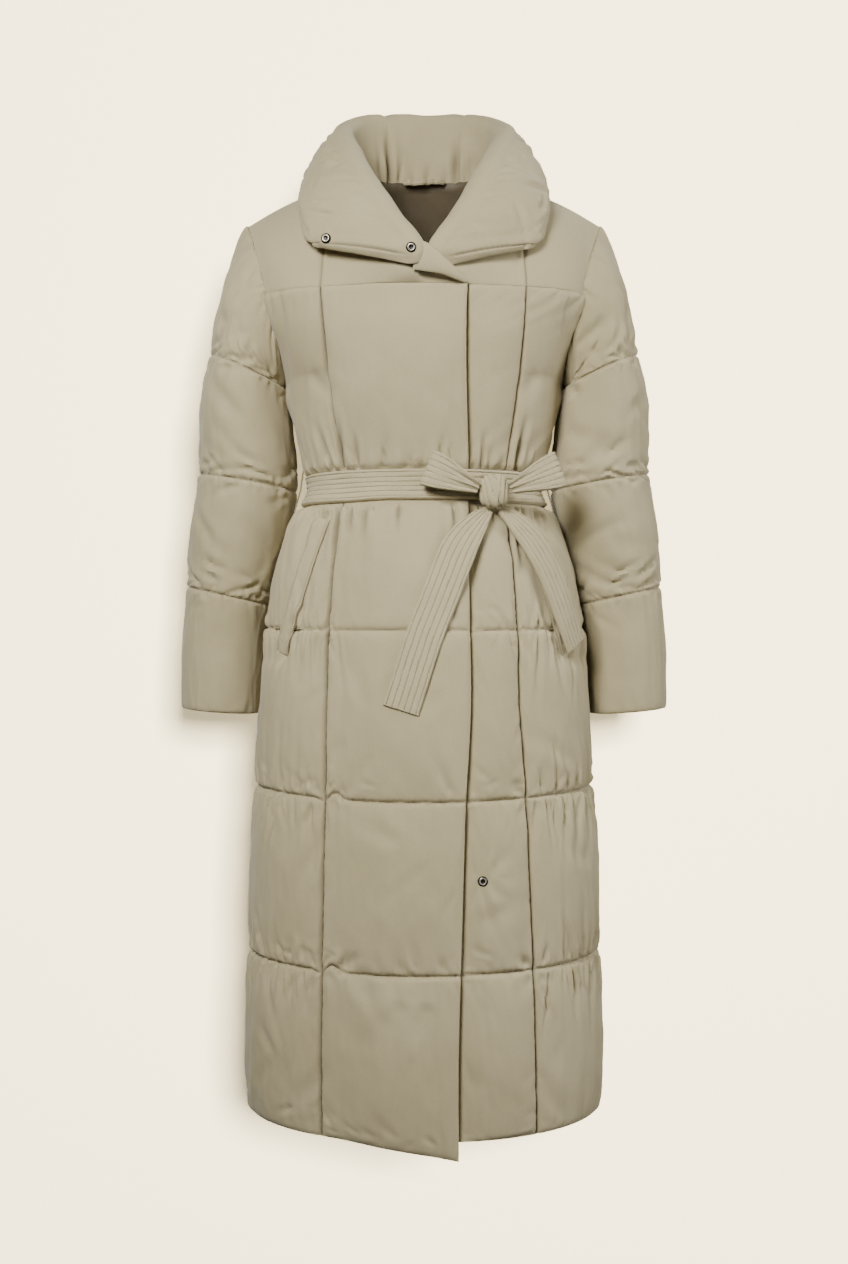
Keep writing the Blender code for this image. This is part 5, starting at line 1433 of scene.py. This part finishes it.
# A loop from its root and back again: how far out, how far in front, and the band's width.
loop_stations = np.array([
    (0.000, 0.0030, 0.013), (0.018, 0.0075, 0.025), (0.038, 0.0095, 0.037), (0.052, 0.0080, 0.043),
    (0.0575, 0.0050, 0.044), (0.059, 0.0000, 0.044), (0.0565, -0.0045, 0.044),
    (0.050, -0.0065, 0.042),
    (0.036, -0.0065, 0.035), (0.018, -0.0055, 0.024), (0.000, -0.0030, 0.013),
])
for side, hand, back in ((-1, "right", -0.10), (1, "left", 0.16)):
    out, forward, width = curve(np.arange(11), loop_stations, np.linspace(0, 10, 90)).T
    root = KNOT + np.array([side * (KNOT_HALF[0] + 0.0021), -0.0066, 0.003])
    middle = root + np.array([side, back, 0.40]) * out[:, None]
    middle[:, 1] -= forward
    upright = unit(np.array([-side * 0.40, 0.0, 1.0]))
    inside = middle[None] + upright * rib_at[:, None, None] * width[None, :, None]
    ways = normals(inside)
    if ways[20, 20, 1] > 0:
        ways = -ways
    length = from_start(middle)
    gather = (1 - ease(0.010, 0.040, out))[None, :]
    pleat = 0.0016 * np.cos(rib_at[:, None] * 2 * math.pi * 2.5) * gather
    inside = inside + ways * pleat[..., None]
    piece = band("bow_loop_" + hand, inside, ways, 0.0029, 0.0009, length[None, :], 88 + side)

# The knot: the band passes round it twice, in soft wraps that lean to the left.
u = np.linspace(0, 2 * math.pi, 100, endpoint=False)[None, :]
v = np.linspace(-math.pi / 2, math.pi / 2, 60)[:, None]
ball = np.stack([np.cos(v) * np.sin(u), -np.cos(v) * np.cos(u), np.sin(v) + 0 * u], -1)
boxed = np.sign(ball) * np.abs(ball) ** 0.75
lean = ball[..., 0] + 0.35 * ball[..., 2] * np.where(ball[..., 0] < 0.1, 1, -0.4)
wrap = np.abs(np.sin(2.6 * math.pi * lean + 0.5))
ridge = 0.0022 * (wrap**0.6 - 0.7)
deep = 0.0032 * mound(ball[..., 0] - 0.15 + 0.25 * ball[..., 2], 0.10)
shape = KNOT + boxed * KNOT_HALF + ball * (ridge - deep * (ball[..., 1] < 0.3))[..., None]
core = KNOT + boxed * KNOT_HALF * 0.6
# The dark marks between the wraps are painted shade in the folds.
knot = wall(
    "bow_knot_cloth", core, shape, belt_cloth, ring=True, sharp=70,
    marks={"thread_and_shade": 0.5 * (wrap < 0.12)}
)
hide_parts("bow_knot")


# ---- Pocket welts: slanting strips on the side panels, with a topstitch along both edges
# Each is a strip of the shell's cloth, 25 mm wide, laid along a pocket's slit and sewn down. Here
# it is brought down onto the settled panel under it, point by point, and then smoothed.
WELT_WIDTH, WELT_STITCH = 0.025, 0.0035  # and how far the topstitch is from its edges
WELT_MIDDLE = -0.485
welt_at = np.concatenate([[-0.5, -0.485, -0.46], np.linspace(-0.42, 0.42, 15), [0.46, 0.485, 0.5]])
for side, hand in ((-1, "right"), (1, "left")):
    share = np.linspace(0, 1, 9)
    x = side * (0.1270 + share * 0.0520)
    low = -0.400 - share * 0.166
    begin = turn_at(side * size("right" if side < 0 else "left", low), low)
    over = (turn_at(x, low) - begin) / (side * math.pi / 2 - begin)
    puff = np.interp(low, [-0.60, -0.50], [0.95, 0.75]) * 0.95
    full_at = SEAM + (FULL - SEAM) * puff * (4 * over * (1 - over)) ** 0.36 + 0.0006
    inside, ways, length = strip(
        list(zip(x - side * 0.002, low, np.full(9, WELT_WIDTH), full_at)), 100, welt_at
    )
    near = body_face[:, panel == (1 if side < 0 else 5)].reshape(-1, 3)
    near = near[np.abs(near[:, 2] - WELT_MIDDLE) < 0.115]
    from_tip = np.minimum(length, length[-1] - length)[None, :]
    for raised in (0.0, 0.0006 - 0.0022 * (1 - ease(0.0, 0.012, from_tip))):
        seat = np.empty(inside.shape[:2])
        for row in range(len(inside)):
            gaps = np.linalg.norm(near[None] - inside[row][:, None], axis=-1)
            found = near[np.argmin(gaps, axis=1)]
            seat[row] = np.sum((found - inside[row]) * ways[row], -1)
        for _ in range(4):
            seat[:, 1:-1] = (seat[:, :-2] + seat[:, 1:-1] + seat[:, 2:]) / 3
            seat[1:-1] = (seat[:-2] + seat[1:-1] + seat[2:]) / 3
        inside = inside + ways * (seat + raised)[..., None]
    rim = np.minimum(1, (0.5 - np.abs(welt_at)) / 0.05) ** 0.5
    tip = np.minimum(1, np.minimum(length, length[-1] - length) / 0.0015) ** 0.5
    stitched = mound((0.5 - np.abs(welt_at)) * WELT_WIDTH - WELT_STITCH, 0.0007)
    tall = 0.0006 + 0.0022 * rim[:, None] * tip[None, :] - 0.0009 * stitched[:, None]
    tall = (
        tall
        + 0.0007 * waves(
            91 + side, welt_at[:, None] * 0.02, length[None, :], 0.03, 0.05
        ) * rim[:, None] * tip[None, :]
    )
    # Its long edges are painted dark as shade where the strip meets the panel, and the topstitch's
    # line is partly the thread and partly painted shade in its groove.
    piece = wall(
        "pocket_welt_" + hand + "_cloth", inside, inside + ways * tall[..., None], shell_cloth,
        marks={
            "thread_and_shade": np.maximum(
                0.4 * (stitched > 0.8), 0.6 * (np.abs(welt_at) > 0.48)
            )[:, None] * np.ones((1, 100)),
            "by_row": 0.5 * stitched[:, None] * np.ones((1, 100))
        }
    )
    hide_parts("pocket_welt_" + hand)


# ---- Belt carriers: narrow sewn loops that stand round the belt at the side seams
# Each is a tape of the shell's cloth, 6 mm wide, sewn down above the belt and below it, with a row
# of stitches along both its edges.

# Their heights, and how far they stand off the coat's bare inside.
carrier_stations = np.array([
    (-0.3330, 0.0095), (-0.3395, 0.0125), (-0.3500, 0.0160), (-0.3650, 0.0175), (-0.3800, 0.0160),
    (-0.3905, 0.0125), (-0.3970, 0.0095)
])
for side, hand in ((-1, "right"), (1, "left")):
    at, lift = curve(np.arange(7), carrier_stations, np.linspace(0, 6, 60)).T
    turn = np.full(60, side * math.radians(86))
    middle = bare(turn, at) + bare_normal(turn, at) * lift[:, None]
    places = np.linspace(-0.5, 0.5, 9)
    grid = middle[:, None] + np.array([0, -1.0, 0]) * places[None, :, None] * 0.006
    ways = normals(grid)
    if np.mean(ways[..., 0]) * side < 0:
        ways = -ways
    half = (
        0.001 * (0.35 + 0.65 * np.sqrt(np.clip(1 - (2 * places) ** 4, 0, 1)))[None, :]
        - 0.0002 * (np.abs(np.abs(places) - 0.3) < 0.07)[None, :]
    )
    # The whole tape is darkened nearly to the line colour, as painted shade on the narrow loop.
    piece = wall(
        "belt_carrier_" + hand + "_cloth", grid - ways * half[..., None],
        grid + ways * half[..., None], shell_cloth, marks={"thread_and_shade": np.full((60, 9), 0.9)}
    )
    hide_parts("belt_carrier_" + hand)


# ---- Neck band: the strip of the right front that tapers off beyond the collar's end
# It is the shell's cloth on both faces with a little filling, and runs out to nothing where the
# lap ends.

# Its x, its upper and its lower edge, and its place from front to back.
band_stations = np.array([
    (-0.0130, -0.0760, -0.1110, -0.1500), (0.0040, -0.0790, -0.1135, -0.1520),
    (0.0220, -0.0940, -0.1165, -0.1510), (0.0380, -0.1085, -0.1215, -0.1440),
    (0.0495, -0.1195, -0.1240, -0.1345)
])
x, high, low, y = curve(np.arange(5), band_stations, np.linspace(0, 4, 60)).T
up = np.linspace(0, 1, 26)
middle = np.stack(
    [
        np.broadcast_to(x, (26, 60)), y - 0.0015 * np.sin(math.pi * up)[:, None],
        low + (high - low) * up[:, None]
    ],
    -1
)
ways = normals(middle)
if ways[0, 0, 1] > 0:
    ways = -ways
rim = (
    np.sqrt(np.clip(1 - (2 * up - 1) ** 6, 0.03, 1))[:, None]
    * np.sqrt(np.clip(1 - (1 - np.clip(np.linspace(0, 20, 60), 0, 1)) ** 2, 0.1, 1))[None, :]
)
half = 0.002 * rim
swell = (
    0.0012 * np.sin(math.pi * up)[:, None]
    * np.sin(math.pi * np.linspace(0.05, 1, 60))[None, :] ** 0.5
)
piece = wall(
    "front_neck_band_cloth", middle - ways * half[..., None],
    middle + ways * (half + swell)[..., None], shell_cloth
)
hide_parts("front_neck_band")


# ---- Lining in the neck, a darker smooth cloth, and the hanger loop sewn over the neck seam
# The lining lies against the back yoke and is sewn up at the collar's foot, in small scallops. The
# hanger loop is a 7 mm tape of the shell's cloth, sewn down at its two ends.

# The lining is a smooth dark cloth, slicker than the shell and with less of a sheen. Its threads
# are drawn 0.4 mm apart, coarser than the real ones.
lining_cloth = cloth(
    "lining_cloth", "#554C3B", "#483F30", weave_mm=0.4, roughness=0.5, sheen=0.1, grain=0.15
)
keep = slice(18, back_in.shape[1] - 18)
face = draw_in(back_in[:, keep] - back_ways[:, keep] * 0.0006, 0.0008)
facing_out = back_ways[:, keep]
x = face[-1, :, 0]
scallops = 0.0010 * np.abs(np.sin(x * 330 + 2 * np.sin(x * 90)))
for rise in (0.0020, 0.0045, 0.0070):
    behind = np.array([
        [np.interp(rise, rise_c[:, c], shown[:, c, k]) for k in range(3)] for c in range(90, 209)
    ])
    foot = np.stack(
        [
            x, np.interp(x, behind[:, 0], behind[:, 1]) - 0.0012,
            np.interp(x, behind[:, 0], behind[:, 2]) + scallops * rise / 0.007
        ],
        -1
    )
    raised = (1 - ease(0.056, 0.070, np.abs(x)))[:, None]
    face = np.concatenate([
        face, (face[-1] * (1 - raised) + (foot + np.array([0, 0, 0.0002])) * raised)[None]
    ])
    facing_out = np.concatenate([facing_out, facing_out[-1:] * 0.3 + np.array([0, 0.7, 0])])
facing_out = unit(facing_out)
back = face - facing_out * 0.0015
run = along_row(face)
up = up_column(face)
slack = (
    0.0030 * np.clip(waves(95, run, up, 0.07, 0.12), -0.2, 1)
    * np.clip(np.minimum(up, up[-1:] - up) / 0.01, 0, 1)
)
piece = wall("neck_lining_cloth", back - facing_out * slack[..., None], face, lining_cloth)
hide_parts("neck_lining")

share = np.linspace(-1, 1, 90)
bow_out = 0.0075 * (1 - share**4) ** 0.8
places = np.linspace(-0.5, 0.5, 11)
middle = np.stack(
    [
        np.broadcast_to(share * 0.026, (11, 90)),
        np.broadcast_to(
            np.interp(share * 0.026, behind[:, 0], behind[:, 1]) - 0.0075 - 0.7 * bow_out, (11, 90)
        ),
        0.0478 + places[:, None] * 0.007 + 0.0008 * np.sin(3 * share)[None, :]
    ],
    -1
)
ways = normals(middle)
if ways[5, 45, 1] > 0:
    ways = -ways
half = (
    0.0016 * np.sqrt(np.clip(1 - (2 * places) ** 2, 0.04, 1))[:, None]
    - 0.00025 * (np.abs(np.abs(places) - 0.3) < 0.06)[:, None]
)
piece = wall(
    "hanger_loop_cloth", middle - ways * half[..., None], middle + ways * half[..., None],
    shell_cloth,
    marks={"thread_and_shade": 0.6 * (np.abs(np.abs(places) - 0.3) < 0.06)[:, None] * np.ones((1, 90))}
)
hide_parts("hanger_loop")


# ---- Press studs: dark gun metal with a paler rim round the well
# Each cap is stamped from sheet metal, 12.4 mm across, with a raised ring round its well. Two sit
# on the collar and one low on the left front.

# Gun-metal plating is dark and half glossy. Fine scratches break up what it mirrors, and the raised
# ring is coloured a paler grey.
metal = bpy.data.materials.new("snap_metal")
metal.use_nodes = True
tree = metal.node_tree
shader = tree.nodes["Principled BSDF"]
shader.inputs["Metallic"].default_value = 0.75
scratch = node(
    tree, "ShaderNodeTexNoise", {"Scale": 900.0, "Detail": 4.0},
    Vector=node(tree, "ShaderNodeTexCoord").outputs["Object"]
)
rough = node(tree, "ShaderNodeMapRange", {3: 0.22, 4: 0.42}, Value=scratch.outputs["Fac"])
tree.links.new(rough.outputs[0], shader.inputs["Roughness"])
rim_mask = node(tree, "ShaderNodeAttribute", {"attribute_name": "rim"})
rim_tone = node(tree, "ShaderNodeValToRGB", None, Fac=rim_mask.outputs["Fac"])
rim_tone.color_ramp.elements[0].position = 0.2
rim_tone.color_ramp.elements[0].color = linear("#2C2824")
rim_tone.color_ramp.elements[1].position = 0.8
rim_tone.color_ramp.elements[1].color = linear("#B4AEA2")
tree.links.new(rim_tone.outputs["Color"], shader.inputs["Base Color"])
# The cap's section from the well out to the foot: radius and height.
profile = [
    (0.0, 0.0012), (0.0012, 0.0012), (0.0022, 0.0013), (0.0027, 0.0017), (0.0029, 0.0024),
    (0.0032, 0.0027), (0.0040, 0.0027), (0.0046, 0.0024), (0.0054, 0.0016), (0.0060, 0.0012),
    (0.0062, 0.0007), (0.0061, 0.0002), (0.0058, 0.0), (0.0, 0.0)
]
for name in ("collar_snap_outer", "collar_snap_inner", "front_snap"):
    base, axis = stud_seat(name)
    across = unit(np.cross(axis, np.array([0, 0, 1.0])))
    other = np.cross(axis, across)
    spin = np.linspace(0, 2 * math.pi, 64, endpoint=False)
    verts, faces = [], []
    for r, h in profile:
        for t in spin:
            verts.append(
                base + axis * h + (across * math.cos(t) + other * math.sin(t)) * max(r, 1e-5)
            )
    for i in range(len(profile) - 1):
        for j in range(64):
            faces.append((
                i * 64 + j, i * 64 + (j + 1) % 64, (i + 1) * 64 + (j + 1) % 64, (i + 1) * 64 + j
            ))
    mesh = bpy.data.meshes.new(name + "_cap")
    mesh.from_pydata([tuple(v) for v in verts], [], faces)
    pale_rim = np.repeat([float(0.0028 < r < 0.0042 and h > 0.002) for r, h in profile], 64)
    mesh.attributes.new("rim", "FLOAT", "POINT").data.foreach_set(
        "value", pale_rim.astype(np.float32)
    )
    shape = bmesh.new()
    shape.from_mesh(mesh)
    bmesh.ops.remove_doubles(shape, verts=shape.verts, dist=0.00003)
    bmesh.ops.recalc_face_normals(shape, faces=shape.faces)
    shape.to_mesh(mesh)
    shape.free()
    mesh.shade_smooth()
    mesh.materials.append(metal)
    cap = bpy.data.objects.new(name + "_cap", mesh)
    scene.collection.objects.link(cap)
    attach(cap, "root")
    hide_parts(name)


# ---- Stage: pale paper close behind the coat and round it, and soft light from the upper left
# The sheets glow a little, as paper lit from both sides does, and each shows only from its front.
# One lamp is for the sheets alone, so the shadow on the wall doesn't hang on the coat's own light.
WALL, ROOM, FLOOR, CEILING = 0.255, 6, -1.75, 4


def paper(name, corners, glow, faces=((0, 1, 2, 3),)):
    """Matt warm white paper, faintly mottled."""
    mesh = bpy.data.meshes.new(name)
    mesh.from_pydata(corners, [], faces)
    sheet_material = bpy.data.materials.new(name)
    sheet_material.use_nodes = True
    tree = sheet_material.node_tree
    shader = tree.nodes["Principled BSDF"]
    shader.inputs["Roughness"].default_value = 0.95
    shader.inputs["Specular IOR Level"].default_value = 0.1
    shader.inputs["Emission Color"].default_value = linear("#FFEDBE")
    shader.inputs["Emission Strength"].default_value = glow
    mottle = node(tree, "ShaderNodeTexNoise", {"Scale": 3.0, "Detail": 2.0})
    ramp = node(tree, "ShaderNodeValToRGB", None, Fac=mottle.outputs["Fac"])
    ramp.color_ramp.elements[0].color = linear("#F2E9D0")
    ramp.color_ramp.elements[1].color = linear("#F5ECD4")
    tree.links.new(ramp.outputs["Color"], shader.inputs["Base Color"])
    clear = node(tree, "ShaderNodeBsdfTransparent")
    side = node(tree, "ShaderNodeNewGeometry")
    bright = node(tree, "ShaderNodeBsdfDiffuse")
    tree.links.new(ramp.outputs["Color"], bright.inputs["Color"])
    doubled = node(tree, "ShaderNodeAddShader", None, _0=shader.outputs[0], _1=bright.outputs[0])
    both = node(
        tree, "ShaderNodeMixShader", None, _0=side.outputs["Backfacing"], _1=doubled.outputs[0],
        _2=clear.outputs[0]
    )
    tree.links.new(both.outputs[0], tree.nodes["Material Output"].inputs[0])
    mesh.materials.append(sheet_material)
    sheet = bpy.data.objects.new(name, mesh)
    scene.collection.objects.link(sheet)
    sheet.visible_diffuse = False
    sheet.visible_glossy = False
    sheet.visible_shadow = False
    return sheet


low_corners = [
    (-ROOM, -ROOM, FLOOR), (ROOM, -ROOM, FLOOR), (ROOM, ROOM, FLOOR), (-ROOM, ROOM, FLOOR)
]
papers = [
    paper(
        "wall_paper",
        [(-ROOM, WALL, FLOOR), (ROOM, WALL, FLOOR), (ROOM, WALL, CEILING), (-ROOM, WALL, CEILING)],
        0.55
    ),
    paper("floor_paper", low_corners, 0.1),
    paper(
        "room_paper",
        low_corners + [(x, y, CEILING) for x, y, _ in low_corners],
        1.4,
        ((0, 4, 5, 1), (1, 5, 6, 2), (2, 6, 7, 3), (3, 7, 4, 0), (4, 7, 6, 5)),
    ),
]


def softbox(name, place, aim, power, wide, high, on_papers, colour, spread_angle=180):
    """A square lamp that lights either the papers alone or everything else."""
    lamp = bpy.data.lights.new(name, "AREA")
    lamp.shape = "RECTANGLE"
    lamp.size = wide
    lamp.size_y = high
    lamp.energy = power
    lamp.spread = math.radians(spread_angle)
    lamp.color = linear(colour)[:3]
    held = bpy.data.objects.new(name, lamp)
    held.location = place
    held.rotation_euler = (Vector(aim) - Vector(place)).to_track_quat("-Z", "Y").to_euler()
    scene.collection.objects.link(held)
    group = bpy.data.collections.new(name + "_papers")
    for sheet in papers:
        group.objects.link(sheet)
    for entry in group.collection_objects:
        entry.light_linking.link_state = on_papers
    held.light_linking.receiver_collection = group


softbox("key", (-0.70, -1.85, 0.62), (0, 0, -0.52), 20.2, 0.75, 0.75, "EXCLUDE", "#FFFCF4", 90)
softbox("fill", (1.3, -2.3, 0.2), (0, 0, -0.6), 7, 1.8, 1.8, "EXCLUDE", "#FFFCF5")
softbox("side", (2.4, -0.7, 0.2), (0, 0, -0.5), 54, 1.4, 1.8, "EXCLUDE", "#FFFCF5")
softbox("back_left", (-1.5, 2.3, 0.7), (0, 0, -0.5), 48, 1.4, 1.8, "EXCLUDE", "#FFFCF5")
softbox("back_right", (1.5, 2.3, 0.5), (0, 0, -0.5), 40, 1.4, 1.8, "EXCLUDE", "#FFFCF5")
softbox("wall_light", (0.75, -5.0, 0.20), (0, 0.25, -0.5), 760, 0.9, 0.9, "INCLUDE", "#FFF6DC")
world = bpy.data.worlds.new("studio")
world.use_nodes = True
world.node_tree.nodes["Background"].inputs["Color"].default_value = linear("#FFF9EE")
world.node_tree.nodes["Background"].inputs["Strength"].default_value = 0.08
scene.world = world
